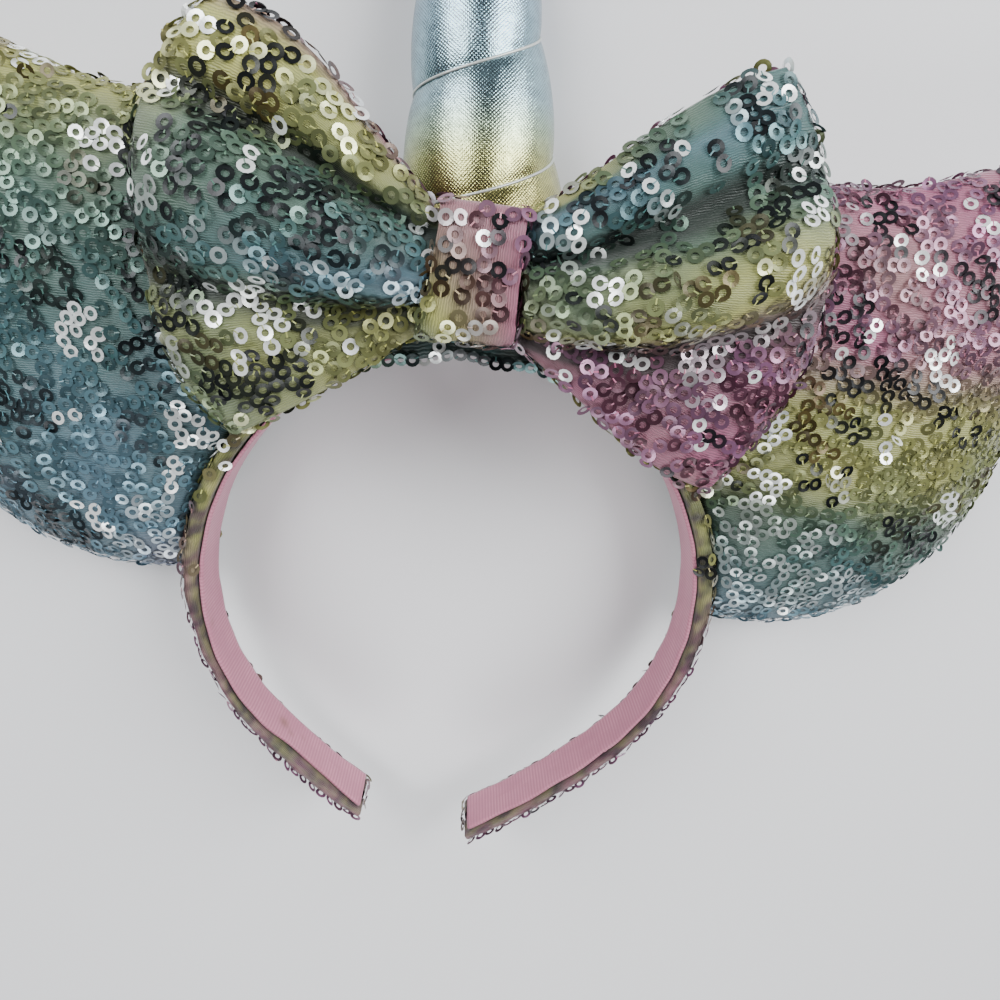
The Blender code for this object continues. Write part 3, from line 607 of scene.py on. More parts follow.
def pink_grosgrain():
    """Polyester grosgrain ribbon: close cross ribs, matt, with faint handling stains."""
    made, tree, shader = new_material("polyester_grosgrain")
    rib_pitch, mottle_size = 0.9 * MM, 9 * MM
    uv = add(tree, "ShaderNodeUVMap").outputs["UV"]
    rib = add(tree, "ShaderNodeTexWave", {
        "Vector": uv, "Scale": WAVE_REPEAT / rib_pitch, "Distortion": 0.35, "Detail": 1.0,
        "Detail Scale": 0.3}, bands_direction="X").outputs["Fac"]
    mottle = add(tree, "ShaderNodeTexNoise", {"Vector": uv, "Scale": 1 / mottle_size, "Detail": 3.0})
    pink = add(tree, "ShaderNodeValToRGB", {"Fac": mottle.outputs["Fac"]},
               stops=[(0.3, "AB6A80"), (0.7, "BD7C90")]).outputs[0]
    ribbed = add(tree, "ShaderNodeMix", {"Factor": rib, "A": linear("A2647A"), "B": pink},
                 data_type="RGBA").outputs["Result"]
    stain = add(tree, "ShaderNodeAttribute", attribute_name="stain").outputs["Fac"]
    stained = add(tree, "ShaderNodeMix", {"Factor": stain, "A": ribbed, "B": linear("6E4A38")},
                  data_type="RGBA").outputs["Result"]
    bump = add(tree, "ShaderNodeBump", {"Height": rib, "Strength": 0.5, "Distance": 0.1 * MM})
    fill(tree, shader, {"Base Color": stained, "Normal": bump.outputs[0], "Roughness": 0.7,
                        "Sheen Weight": 0.15})
    return made


# Surfaces on grids

def signed_power(values, power):
    return np.sign(values) * np.abs(values) ** power


def ripple(points, wavelength, seed, waves=9):
    """Smooth noise of about -1 to 1: the mean of sine waves in seeded directions."""
    draw = np.random.default_rng(seed)
    directions = draw.normal(size=(waves, 3))
    directions /= np.linalg.norm(directions, axis=1)[:, None]
    lengths = wavelength * draw.uniform(0.7, 1.4, waves)
    phases = draw.uniform(0.0, 2 * np.pi, waves)
    angles = points @ (directions / lengths[:, None]).T * 2 * np.pi + phases
    return np.sin(angles).sum(axis=-1) / np.sqrt(waves)


def grid_faces(columns, row_steps, column_steps, rows):
    """Quads between neighbours on a grid of rows and columns, back to the first past the last.
    Returns each quad's points, and its corners in a uv grid that is one column and row larger."""
    row, col = np.meshgrid(np.arange(row_steps), np.arange(column_steps), indexing="ij")
    next_row, next_col = (row + 1) % rows, (col + 1) % columns
    wide = column_steps + 1
    faces = np.stack([row * columns + col, row * columns + next_col,
                      next_row * columns + next_col, next_row * columns + col], axis=-1)
    corners = np.stack([row * wide + col, row * wide + col + 1,
                        (row + 1) * wide + col + 1, (row + 1) * wide + col], axis=-1)
    return faces.reshape(-1, 4).tolist(), corners.reshape(-1, 4).tolist()


def volume_sign(points, faces):
    """Signed volume of a closed skin, from its quads and triangles."""
    total = 0.0
    for size in (3, 4):
        chosen = np.array([face for face in faces if len(face) == size])
        if len(chosen):
            a = points[chosen[:, 0]]
            for k in range(1, size - 1):
                total += (a * np.cross(points[chosen[:, k]], points[chosen[:, k + 1]])).sum()
    return total


def make_mesh(name, points, faces, surface, smooth=True):
    mesh = bpy.data.meshes.new(name)
    mesh.from_pydata(points.tolist(), [], faces)
    mesh.materials.append(surface)
    if smooth:
        mesh.shade_smooth()
    made = bpy.data.objects.new(name, mesh)
    bpy.context.scene.collection.objects.link(made)
    return made


def add_uv(mesh, coordinates):
    layer = mesh.uv_layers.new(name="UVMap")
    layer.data.foreach_set("uv", np.asarray(coordinates, np.float32).ravel())


def add_number(mesh, name, values):
    made = mesh.attributes.new(name, "FLOAT", "POINT")
    made.data.foreach_set("value", np.asarray(values, np.float32).ravel())


def add_tint(mesh, colours):
    made = mesh.attributes.new("tint", "FLOAT_COLOR", "POINT")
    full = np.column_stack([colours, np.ones(len(colours))])
    made.data.foreach_set("color", full.astype(np.float32).ravel())


def skin(name, rings, uv, surface, form="tube", **numbers):
    """A skin through rings, shape (rows, columns, 3), with uv one column wider, carrying the numbers
    given as point attributes. A tube is fanned onto a middle point at each end. A slit tube is open
    along it between its first and last column, and its uv is as wide as its rings. A loop closes
    both ways, like a ring doughnut, and its uv has one row more."""
    rows, columns = rings.shape[:2]
    across = columns - 1 if form == "slit" else columns
    faces, corners = grid_faces(columns, rows if form == "loop" else rows - 1, across, rows)
    points = rings.reshape(-1, 3)
    if form != "loop":
        points = np.concatenate([points, rings[0].mean(0)[None], rings[-1].mean(0)[None]])
        first, last = rows * columns, rows * columns + 1
        end, base = (rows - 1) * columns, (rows - 1) * (across + 1)
        for k in range(across):
            faces += [[first, (k + 1) % columns, k], [last, end + k, end + (k + 1) % columns]]
            corners += [[0, k + 1, k], [base, base + k, base + k + 1]]
    if volume_sign(points - points.mean(axis=0), faces) < 0:
        faces = [face[::-1] for face in faces]
        corners = [corner[::-1] for corner in corners]
    made = make_mesh(name, points, faces, surface)
    add_uv(made.data, uv.reshape(-1, 2)[np.concatenate(corners)])
    values = {}
    for key, value in numbers.items():
        value = np.broadcast_to(value, (rows, columns)).reshape(-1)
        values[key] = value if form == "loop" else np.append(value, (value[0], value[-1]))
        add_number(made.data, key, values[key])
    tree = BVHTree.FromPolygons(points.tolist(), faces)
    return dict(object=made, points=points, faces=faces, tree=tree, **values)


# Band and ribbon

def arc_point(along, outward):
    """A point of the band's path: a round arc, then a straighter end. along runs from the crown,
    and is negative on the left branch."""
    side = np.where(along < 0, -1.0, 1.0)
    along = np.abs(along)
    angle = np.clip(along / RIBBON_RADIUS, 0.0, ARC_ANGLE)
    beyond = np.maximum(along - ARC_LENGTH, 0.0) / END_RADIUS
    end_turn = angle + beyond
    turned = END_RADIUS * (np.sin(end_turn) - np.sin(angle))
    dropped = END_RADIUS * (np.cos(end_turn) - np.cos(angle))
    x = RIBBON_RADIUS * np.sin(angle) + turned + outward * np.sin(end_turn)
    y = RIBBON_RADIUS * np.cos(angle) + dropped + outward * np.cos(end_turn)
    return side * x, y


def rounded_section(corner, width, height, columns, slit=0.0):
    """Points round a rectangle with rounded corners, evenly spaced, from the middle of the inner
    side, where a slit may stay open. Returns across, outward and the length round to each point."""
    fine = np.linspace(0.0, 2 * np.pi, 1441)
    power = 2.0 * min(width, height) / (2 * corner)
    across = signed_power(np.sin(fine), 1 / power) * width / 2
    outward = -signed_power(np.cos(fine), 1 / power) * height / 2
    lengths = np.concatenate([[0.0], np.cumsum(np.hypot(np.diff(across), np.diff(outward)))])
    even = np.linspace(slit / 2, lengths[-1] - slit / 2, columns + 1)
    return np.interp(even, lengths, across), np.interp(even, lengths, outward), even


def strip_rows(from_end, to_end, step):
    return np.linspace(from_end, to_end, int(round((to_end - from_end) / step)) + 1)


def build_band_wrap(surface):
    """The knit wrapped round the band: the band's section carried along its path, with faint
    lengthwise folds, both ends closed round, and a lip that hangs down in front under the knot."""
    along = np.concatenate([
        LEFT_TIP + WRAP_END_INSETS,
        strip_rows(LEFT_TIP + WRAP_FIRST_RING, RIGHT_TIP - WRAP_FIRST_RING, WRAP_STEP),
        RIGHT_TIP - WRAP_END_INSETS[::-1],
    ])
    length = np.where(along < 0, -LEFT_TIP, RIGHT_TIP)
    slimming = np.clip((np.abs(along) - BAND_TAPER_FROM) / BAND_TAPER_LENGTH, 0.0, 1.0)
    thick = BAND_THICKNESS + (BAND_TIP_THICKNESS - BAND_THICKNESS) * slimming
    to_end = np.clip((length - np.abs(along)) / (BAND_TIP_THICKNESS / 2), 0.0, 1.0)
    rounding = np.sqrt(np.maximum(1.0 - (1.0 - to_end) ** 2, 0.0))
    across, outward, around = rounded_section(BAND_CORNER, BAND_WIDTH, BAND_THICKNESS, WRAP_SIDES,
                                              WRAP_SLIT)
    centre = BAND_INNER - RIBBON_RADIUS + thick / 2
    out = centre[:, None] + outward[None, :] / BAND_THICKNESS * (thick * rounding)[:, None]
    narrow = WRAP_END_WIDTH + (1.0 - WRAP_END_WIDTH) * rounding
    z = across[None, :] * narrow[:, None]

    hanging = np.sqrt(np.clip(1.0 - (along / CROWN_LIP_REACH) ** 2, 0.0, 1.0))[:, None]
    front = np.clip((z - RIBBON_WIDTH / 2 - 0.15 * MM) / (0.4 * MM), 0.0, 1.0)
    inward = np.clip(0.5 - outward / BAND_THICKNESS, 0.0, 1.0)[None, :]
    wavy = 1.0 + 0.25 * np.sin(2 * np.pi * along / CROWN_LIP_WAVE)[:, None]
    out = out - CROWN_LIP_HANG * hanging * front * inward * wavy
    z = z + CROWN_LIP_FORWARD * hanging * front
    x, y = arc_point(along[:, None], out)
    points = np.stack([x, y, np.broadcast_to(z, x.shape)], axis=-1)

    outer_face = np.clip(outward / BAND_THICKNESS + 0.5, 0.0, 1.0)[None, :, None]
    fold = ripple(points * (1.0, 1.0, 2.5), WRAP_FOLD_SPACING, 11)[..., None] * WRAP_FOLD
    middle = np.stack(arc_point(along, centre), axis=-1)
    away = points[..., :2] - middle[:, None]
    away = away / np.maximum(np.linalg.norm(away, axis=-1, keepdims=True), 1e-6)
    points[..., :2] += away * fold * outer_face * rounding[:, None, None]
    uv = np.stack(np.broadcast_arrays(along[:, None], around[None, :]), axis=-1)

    mottle, blotch = ripple(points, WRAP_MOTTLE, 3), ripple(points, WRAP_BLOTCH, 4)
    branch = np.clip((np.abs(along) - BRANCH_FROM) / BRANCH_BLEND, 0.0, 1.0)[:, None]
    outer = np.clip(outward / BAND_THICKNESS + 0.7, 0.0, 1.0)
    crown = np.clip(1.6 - np.abs(along) / CROWN_HALF_LENGTH, 0.0, 1.0)[:, None]
    dye = WRAP_DYE["plain"] + WRAP_DYE["mottle"] * mottle * (1.0 + branch) + WRAP_DYE["branch"] * branch
    dye = dye + (WRAP_DYE["outer"] - dye) * branch * outer
    dye = dye + (WRAP_DYE["crown"] - dye) * crown
    dye = dye + WRAP_DYE["blotch"] * np.maximum(blotch, 0.0) * (1.0 - crown)
    shade = WRAP_SHADE["plain"] + WRAP_SHADE["mottle"] * mottle + WRAP_SHADE["blotch"] * blotch
    shade = shade + WRAP_SHADE["branch"] * branch + WRAP_SHADE["crown"] * crown
    shade = np.clip(shade, WRAP_SHADE["least"], WRAP_SHADE["most"])
    return skin("band_wrap", points + ARC_CENTRE, uv, surface, form="slit", dye=dye, shade=shade)


def build_ribbon(surface):
    """The grosgrain lining: a thin flat section carried along the arc, its edges a little wavy, its
    front edge tucked under the wrap low on the left branch, and crumpled on the right one."""
    along = strip_rows(LEFT_TIP + RIBBON_SHORT_OF_END, RIGHT_TIP - RIBBON_SHORT_OF_END, RIBBON_STEP)
    rows = along[:, None]
    across, outward, around = rounded_section(RIBBON_CORNER, RIBBON_WIDTH, RIBBON_THICKNESS, RIBBON_SIDES)
    edge = np.sign(across)[None, :] * np.clip(np.abs(across)[None, :] / RIBBON_WIDTH * 2, 0, 1) ** 4
    drift = 1.5 * np.sin(rows / RIBBON_WAVE["drift"])
    z = across[None, :] + edge * RIBBON_WAVE["height"] * np.sin(
        2 * np.pi * rows / RIBBON_WAVE["length"] + drift)
    tucked = np.exp(-(((rows - RIBBON_TUCK_AT) / RIBBON_TUCK_LENGTH) ** 2))
    z = z - RIBBON_TUCK * tucked * np.clip(z / RIBBON_WIDTH + 0.5, 0.0, 1.0)
    lift = RIBBON_LIFT["height"] * np.abs(edge) * np.sin(
        2 * np.pi * rows / RIBBON_LIFT["length"] + RIBBON_LIFT["phase"])
    crumple = np.exp(-(((rows - RIBBON_CRUMPLE_AT) / RIBBON_CRUMPLE["reach"]) ** 2))
    crease = np.sin(2 * np.pi * rows / RIBBON_CRUMPLE["length"]) * crumple
    crease = crease * np.clip(z / RIBBON_WIDTH + 0.5, 0, 1)
    out = RIBBON_THICKNESS / 2 + outward[None, :] - np.maximum(lift, 0.0)
    out = out - RIBBON_CRUMPLE["depth"] * (1.0 + crease) * crumple
    x, y = arc_point(rows, out)
    points = np.stack([x, y, z], axis=-1)
    stain = np.zeros_like(z)
    for spot in RIBBON_STAINS:
        reach = np.hypot((rows - spot["along"]), z - spot["across"])
        stain = np.maximum(stain, spot["depth"] * np.exp(-((reach / spot["reach"]) ** 2)))
    uv = np.stack(np.broadcast_arrays(rows, around[None, :]), axis=-1)
    return skin("grosgrain_lining", points[:, :-1] + ARC_CENTRE, uv, surface, stain=stain[:, :-1])


# Ears

def ear_reach(angle):
    """Distance from the right ear's centre to its outline: a circle drawn out to a soft point, cut
    back along the band's outer face and kept clear of the horn."""
    from_point = (angle - EAR_POINT_ANGLE + np.pi) % (2 * np.pi) - np.pi
    leaf = EAR_RADIUS + EAR_POINT_LENGTH * np.exp(-(from_point / EAR_POINT_SPREAD) ** 2)
    dx, dy = np.cos(angle), np.sin(angle)
    toward = EAR_CENTRE_X * dx + EAR_CENTRE_Y * dy
    gap = EAR_CENTRE_X ** 2 + EAR_CENTRE_Y ** 2 - SEAT_RADIUS ** 2
    inside = toward ** 2 - gap
    hit = -toward - np.sqrt(np.maximum(inside, 0.0))
    to_band = np.where((inside > 0) & (hit > 0), hit, np.inf)
    horn_side = HORN_CENTRE_X + HORN_BASE_RADIUS + HORN_BULGE + EAR_TO_HORN
    to_horn = np.where(dx < -0.01, (EAR_CENTRE_X - horn_side) / np.maximum(-dx, 0.01), np.inf)
    reach = np.minimum(np.minimum(leaf, to_band), to_horn)
    seated = np.clip((leaf - to_band) / EAR_SEAT_BLEND, 0.0, 1.0)
    return reach, seated


def build_ear(name, side, dyes, seed, surface):
    """One padded ear: rings from the front's middle out to the rim and back in behind. The depth is
    a cushion's, full in the middle and falling to the seam, with short puckers across the seam."""
    angles = np.linspace(0.0, 2 * np.pi, EAR_SPOKES)
    across = np.sin(np.radians(np.linspace(1.5, 90.0, EAR_RINGS)))
    share = np.concatenate([across, across[-2::-1]])[:, None]
    face = np.concatenate([np.ones(EAR_RINGS), -np.ones(EAR_RINGS - 1)])[:, None]
    reach, seated = ear_reach(angles[None, :])
    rim = EAR_RIM_HALF_THICKNESS + (EAR_SEAT_HALF_THICKNESS - EAR_RIM_HALF_THICKNESS) * seated
    puff = np.maximum(1.0 - share ** EAR_CROWN_POWER, 0.0) ** EAR_FULLNESS_POWER
    depth = rim * share ** 2 + (EAR_HALF_THICKNESS - rim * share ** 2) * puff
    seam_length = EAR_RADIUS * angles[None, :]
    pucker = np.sin(2 * np.pi * seam_length / PUCKER["length"] + 2.0 * np.sin(3 * angles + seed))
    pucker = pucker * (1 - seated) * np.exp(-((1 - share) / PUCKER["reach"])) * puff ** 0.5
    x = EAR_CENTRE_X + share * reach * np.cos(angles)
    y = EAR_CENTRE_Y + share * reach * np.sin(angles)
    dent = ripple(np.stack([x, y, 0 * x], axis=-1), EAR_DENT["length"], seed) * EAR_DENT["height"]
    resting = np.where(face < 0, 0.0, 1.0)
    z = face * (depth + (pucker * PUCKER["height"] + dent * puff * resting)) - EAR_SET_BACK
    points = np.stack([side * x, y, z], axis=-1)[:, :-1]
    points = points + ARC_CENTRE
    points[..., 2] = np.maximum(points[..., 2], 0.0)
    uv = np.stack([side * x, y], axis=-1)
    wobble = EAR_WOBBLE["dye"] * ripple(points, EAR_WOBBLE["length"], seed + 1)
    dye = np.interp(points[..., 1], dyes["height"], dyes["dye"]) + wobble
    low = np.clip((EAR_LOW_FROM - points[..., 1]) / EAR_LOW_SPAN, 0.0, 1.0)
    seat = (seated * share ** 8)[:, :-1]
    shade = EAR_SHADE["plain"] + EAR_SHADE["seat"] * seat + EAR_SHADE["low"] * low
    return skin(name, points, uv, surface, dye=dye, shade=shade)


# Horn

def horn_axes():
    """Unit vectors along the horn, to its right side and out of its front."""
    axis = Vector((-np.sin(HORN_LEAN), np.cos(HORN_LEAN), -HORN_SLOPE)).normalized()
    side = Vector((np.cos(HORN_LEAN), np.sin(HORN_LEAN), 0.0))
    front = side.cross(axis)
    return np.array(axis), np.array(side), np.array(front)


def horn_base():
    return np.array((HORN_CENTRE_X, RIBBON_RADIUS, HORN_CENTRE_Z)) + ARC_CENTRE


def horn_point(along, turn, wrinkled=True):
    """A point of the horn: a cone with a puffed coil between the turns of one spiral groove, which
    sags in front near the foot, and short creases that run out of the groove."""
    axis, side, front = horn_axes()
    sag = GROOVE_DIP * np.maximum(1.0 - along / GROOVE_DIP_LENGTH, 0.0) * np.sin(turn)
    phase = ((along + sag - HORN_FIRST_GROOVE) / HORN_PITCH + turn / (2 * np.pi)) % 1.0
    fade = np.clip((HORN_LENGTH - along) / HORN_TIP_ROUND, 0.0, 1.0)
    radius = HORN_BASE_RADIUS - HORN_SLOPE * along
    puff = np.abs(np.sin(np.pi * phase)) ** HORN_PUFF_POWER
    radius = radius + HORN_BULGE * puff
    if wrinkled:
        near = np.exp(-np.minimum(phase, 1 - phase) / HORN_CREASE["reach"]) * puff
        wander = 2.2 * np.sin(turn * 5 + along / HORN_CREASE["wander"])
        radius = radius + HORN_CREASE["height"] * near * np.sin(turn * HORN_CREASE["count"] + wander)
    radius = radius * np.sqrt(np.maximum(1.0 - (1.0 - fade) ** 2, 0.0))
    out = np.cos(turn)[..., None] * side + np.sin(turn)[..., None] * front
    return horn_base() + np.asarray(along)[..., None] * axis + radius[..., None] * out


def horn_foot(turn):
    """How far along the horn its side meets the band's outer face."""
    along = np.full_like(turn, BAND_THICKNESS)
    for _ in range(12):
        point = horn_point(along, turn) - ARC_CENTRE
        height = np.sqrt(SEAT_RADIUS ** 2 - point[..., 0] ** 2)
        along = along + (height - point[..., 1])
    return along


def build_horn(surface):
    """Rings from the foot, which follows the band, to the round tip. The seam of the weave is at
    the back."""
    turns = np.linspace(-np.pi / 2, 3 * np.pi / 2, HORN_SPOKES)
    foot = horn_foot(turns)
    share = np.linspace(0.0, 1.0, HORN_RINGS)[:, None]
    closing = HORN_LENGTH - HORN_TIP_ROUND
    along = foot[None, :] + (closing - foot[None, :]) * share
    tip = closing + HORN_TIP_ROUND * np.sin(np.radians(np.linspace(8.0, 88.0, TIP_RINGS)))
    along = np.concatenate([along, np.broadcast_to(tip[:, None], (TIP_RINGS, len(turns)))])
    turn = np.broadcast_to(turns[None, :], along.shape)
    points = horn_point(along, turn)
    foot_ring = points[0] - ARC_CENTRE
    middle = foot_ring[:-1].mean(axis=0)
    base = []
    for inward in FOOT_RINGS:
        ring = middle + (foot_ring - middle) * inward
        ring[:, 1] = np.sqrt(SEAT_RADIUS ** 2 - ring[:, 0] ** 2)
        base.append(ring + ARC_CENTRE)
    points = np.concatenate([np.array(base), points])
    radius = HORN_BASE_RADIUS - HORN_SLOPE * along
    uv = np.stack([(turn - np.pi / 2) * radius, along], axis=-1)
    uv = np.concatenate([np.broadcast_to(uv[:1], (len(base), *uv.shape[1:])), uv])
    dye = np.concatenate([np.zeros((len(base), len(turns))), along / HORN_LENGTH])
    return skin("horn_lame", points[:, :-1], uv, surface, dye=np.clip(dye[:, :-1], 0, 1))


def tube_along(name, path, radius, columns, surface):
    """A round cord: a circle carried along a path of points."""
    ahead = np.gradient(path, axis=0)
    ahead /= np.linalg.norm(ahead, axis=1)[:, None]
    side = np.cross(ahead, (0.3, 0.9, 0.2))
    side /= np.linalg.norm(side, axis=1)[:, None]
    up = np.cross(ahead, side)
    turn = np.linspace(0.0, 2 * np.pi, columns + 1)[:-1]
    ring = np.cos(turn)[:, None] * side[:, None] + np.sin(turn)[:, None] * up[:, None]
    rings = path[:, None] + radius * ring
    uv = np.zeros((*rings.shape[:1], columns + 1, 2))
    return skin(name, rings, uv, surface)


def build_groove_cord(surface):
    """The cord in the groove: the spiral where the phase is nought, from the foot to the tip."""
    turn = np.linspace(-6.2 * 2 * np.pi, 2 * np.pi, CORD_STEPS)
    level = HORN_FIRST_GROOVE - turn * HORN_PITCH / (2 * np.pi)
    sag = GROOVE_DIP * np.sin(turn)
    along = np.where(level < GROOVE_DIP_LENGTH,
                     (level - sag) / (1.0 - sag / GROOVE_DIP_LENGTH), level)
    foot = horn_foot(turn)
    kept = (along > foot + CORD_FROM_FOOT) & (along < HORN_LENGTH - CORD_FROM_TIP)
    path = horn_point(along[kept], turn[kept], wrinkled=False)
    axis, base = horn_axes()[0], horn_base()
    outward = path - base - ((path - base) @ axis)[:, None] * axis
    outward /= np.linalg.norm(outward, axis=1)[:, None]
    return tube_along("groove_cord", path + outward * CORD_LIFT, GROOVE_CORD_RADIUS, CORD_SIDES, surface)


# Bow

def smooth_through(at, places, values):
    """The polynomial that passes through all of a table's values."""
    return np.polyval(np.polyfit(places, values, len(places) - 1), at)


def fold_line(fold, out):
    """Share of the way down at which a fold or lip runs, from the knot to the outer end."""
    return fold["knot"] + (fold["end"] - fold["knot"]) * out


def lobe_point(side, out, across, front):
    """A point of one lobe. out runs from the knot to the outer end and across from top to bottom.

    The flat outline is drawn between the knot and the end table. The depth swells away from the
    knot, closes at the outer end, and carries the folds as ridges and valleys along their lines.
    Returns the point, the share of the way down and the folds' relief.
    """
    end, edges, folds, lip = (
        (LEFT_END, LEFT_EDGES, LEFT_FOLDS, LEFT_LIP) if side < 0
        else (RIGHT_END, RIGHT_EDGES, RIGHT_FOLDS, RIGHT_LIP)
    )
    lip_line = fold_line(lip, out)
    above = across * lip_line / LIP_ACROSS
    below = 1.0 - (1.0 - across) * (1.0 - lip_line) / (1.0 - LIP_ACROSS)
    down = np.clip(np.where(across < LIP_ACROSS, above, below), 0.0, 1.0)
    root_x = KNOT_WIDTH / 2 + LOBE_ROOT
    root_y = KNOT_HEIGHT / 2 * (1.0 - 2.0 * down)
    end_x = LOBE_LENGTH * smooth_through(down, end["down"], end["out"])
    end_y = LOBE_HEIGHT * smooth_through(down, end["down"], end["up"])
    arch = np.sin(np.pi * out ** edges["shift"]) * LOBE_HEIGHT
    x = root_x + (end_x - root_x) * out
    y = root_y + (end_y - root_y) * out
    y = y + arch * (edges["top"] * (1.0 - down) ** 2 - edges["bottom"] * down ** 2)

    swell = np.sin(np.pi / 2 * np.clip(out / LOBE_FULL_FROM, 0.0, 1.0)) ** LOBE_SWELL_POWER
    near_end = np.clip((out - LOBE_CLOSING_FROM) / (1.0 - LOBE_CLOSING_FROM), 0.0, 1.0)
    closing = np.sqrt(np.maximum(1.0 - near_end ** 2, 0.0))
    rounded = np.maximum(np.sin(np.pi * down), 0.0) ** LOBE_ROUND_POWER
    knot_half = KNOT_DEPTH / 2 - KNOT_WALL
    growing = np.clip(out / FOLD_FULL_FROM, 0.0, 1.0)
    strength = (FOLD_AT_KNOT + (1.0 - FOLD_AT_KNOT) * growing) * closing ** FOLD_CLOSING_POWER
    relief = 0.0
    for fold in folds:
        away = (down - fold_line(fold, out)) / fold["width"]
        relief = relief + fold["rise"] * np.exp(-(away ** 2))
    fading = np.cos(np.pi / 2 * np.clip(out / lip["reach"], 0.0, 1.0))
    past_lip = 0.5 * (1.0 + np.tanh((down - lip_line) / lip["width"]))
    relief = relief - lip["drop"] * past_lip * fading * (1.0 - down) / (1.0 - lip_line)
    ahead = knot_half + (LOBE_FRONT - knot_half) * swell
    behind = knot_half + (LOBE_BACK - knot_half) * swell
    thick = LOBE_EDGE + (ahead - LOBE_EDGE) * closing
    thin = LOBE_EDGE + (behind - LOBE_EDGE) * closing
    depth = relief * LOBE_FRONT * strength * rounded
    z = np.where(front > 0, thick * rounded + depth, -thin * rounded)
    gather = np.sin(2 * np.pi * GATHER["count"] * down + 0.8 * np.sin(9 * down))
    gather = gather * np.exp(-out / GATHER["reach"])
    flat = np.stack([x, y, 0 * x], axis=-1)
    dent = ripple(flat, LOBE_DENT["length"], 21 if side < 0 else 22)
    z = z + np.where(front > 0, 1.0, -1.0) * rounded * closing * (
        GATHER["height"] * gather + LOBE_DENT["height"] * dent)
    return np.stack([side * x, y, z], axis=-1), down, relief * (front > 0)


def build_bow(surface):
    """Both lobes and the waist between them as one pouch: rings round each lobe from its outer end
    to the knot, then out along the other one."""
    above, below = ((1.0 - np.cos(np.linspace(0.0, np.pi, LOBE_COLUMNS[part]))) / 2
                    for part in ("above", "below"))
    below = LIP_ACROSS + (1.0 - LIP_ACROSS) * below
    downward = np.concatenate([LIP_ACROSS * above, below[1:]])
    across = np.concatenate([downward[:-1], downward[:0:-1]])
    front = np.repeat([1.0, -1.0], len(downward) - 1)
    closing = np.sin(np.radians(np.linspace(6.0, 89.0, LOBE_RINGS["end"])))
    outs = np.concatenate([np.linspace(0.0, 0.9, LOBE_RINGS["inner"]), 0.9 + 0.1 * closing])
    rings, dyes, shades, flats = [], [], [], []
    for side, lobe_dye, lip, order in ((-1.0, LEFT_DYE, LEFT_LIP, outs[::-1]),
                                       (1.0, RIGHT_DYE, RIGHT_LIP, outs)):
        out, around = np.meshgrid(order, across, indexing="ij")
        facing = np.broadcast_to(front, out.shape)
        points, down, relief = lobe_point(side, out, around, facing)
        knot_dye, end_dye = (np.interp(down, lobe_dye["down"], lobe_dye[at]) for at in ("knot", "end"))
        outward = np.clip(out * 1.25 - 0.1, 0.0, 1.0)
        dye = knot_dye + (end_dye - knot_dye) * outward
        past = (down - fold_line(lip, out)) / (0.02 + 0.05 * out)
        below = lip["knot_dye"] + (lip["end_dye"] - lip["knot_dye"]) * outward
        dye = dye + (below - dye) * 0.5 * (1.0 + np.tanh(past))
        dye = np.where(facing > 0, dye, LINING_DYE["top"] + LINING_DYE["falling"] * down)
        dye = dye + LOBE_WOBBLE["dye"] * ripple(points, LOBE_WOBBLE["length"], 5)
        valley = np.clip(-relief * BOW_SHADE["valley"] - BOW_SHADE["valley_from"], 0.0, BOW_SHADE["most"])
        waist_shade = BOW_SHADE["waist"] * np.exp(-out / BOW_SHADE["waist_reach"])
        unlit = 1.0 - out * np.exp(-(down / BOW_SHADE["tip"]) ** 2)
        shade = BOW_SHADE["plain"] * unlit + valley + waist_shade
        rings.append(points)
        dyes.append(dye)
        shades.append(np.clip(shade, 0.0, BOW_SHADE["most"]))
        flats.append(np.stack([side * out * LOBE_LENGTH, down * LOBE_HEIGHT], axis=-1))
    half_height = KNOT_HEIGHT / 2 - KNOT_WALL - SEAM_GAP
    half_depth = KNOT_DEPTH / 2 - KNOT_WALL - SEAM_GAP
    waist = []
    for side in (-1.0, 1.0):
        x = np.full_like(across, side * (KNOT_WIDTH / 2 + SEAM_GAP))
        z = front * half_depth * np.sin(np.pi * across)
        waist.append(np.stack([x, half_height * (1.0 - 2.0 * across), z], axis=-1))
    points = np.concatenate([rings[0], np.array(waist), rings[1]]) + KNOT_CENTRE
    dye, shade, flat = (
        np.concatenate([left, left[-1:], right[:1], right]) for left, right in (dyes, shades, flats))
    uv = np.concatenate([flat, flat[:, :1]], axis=1)
    return skin("bow_pouch", points, uv, surface, dye=dye, shade=shade)


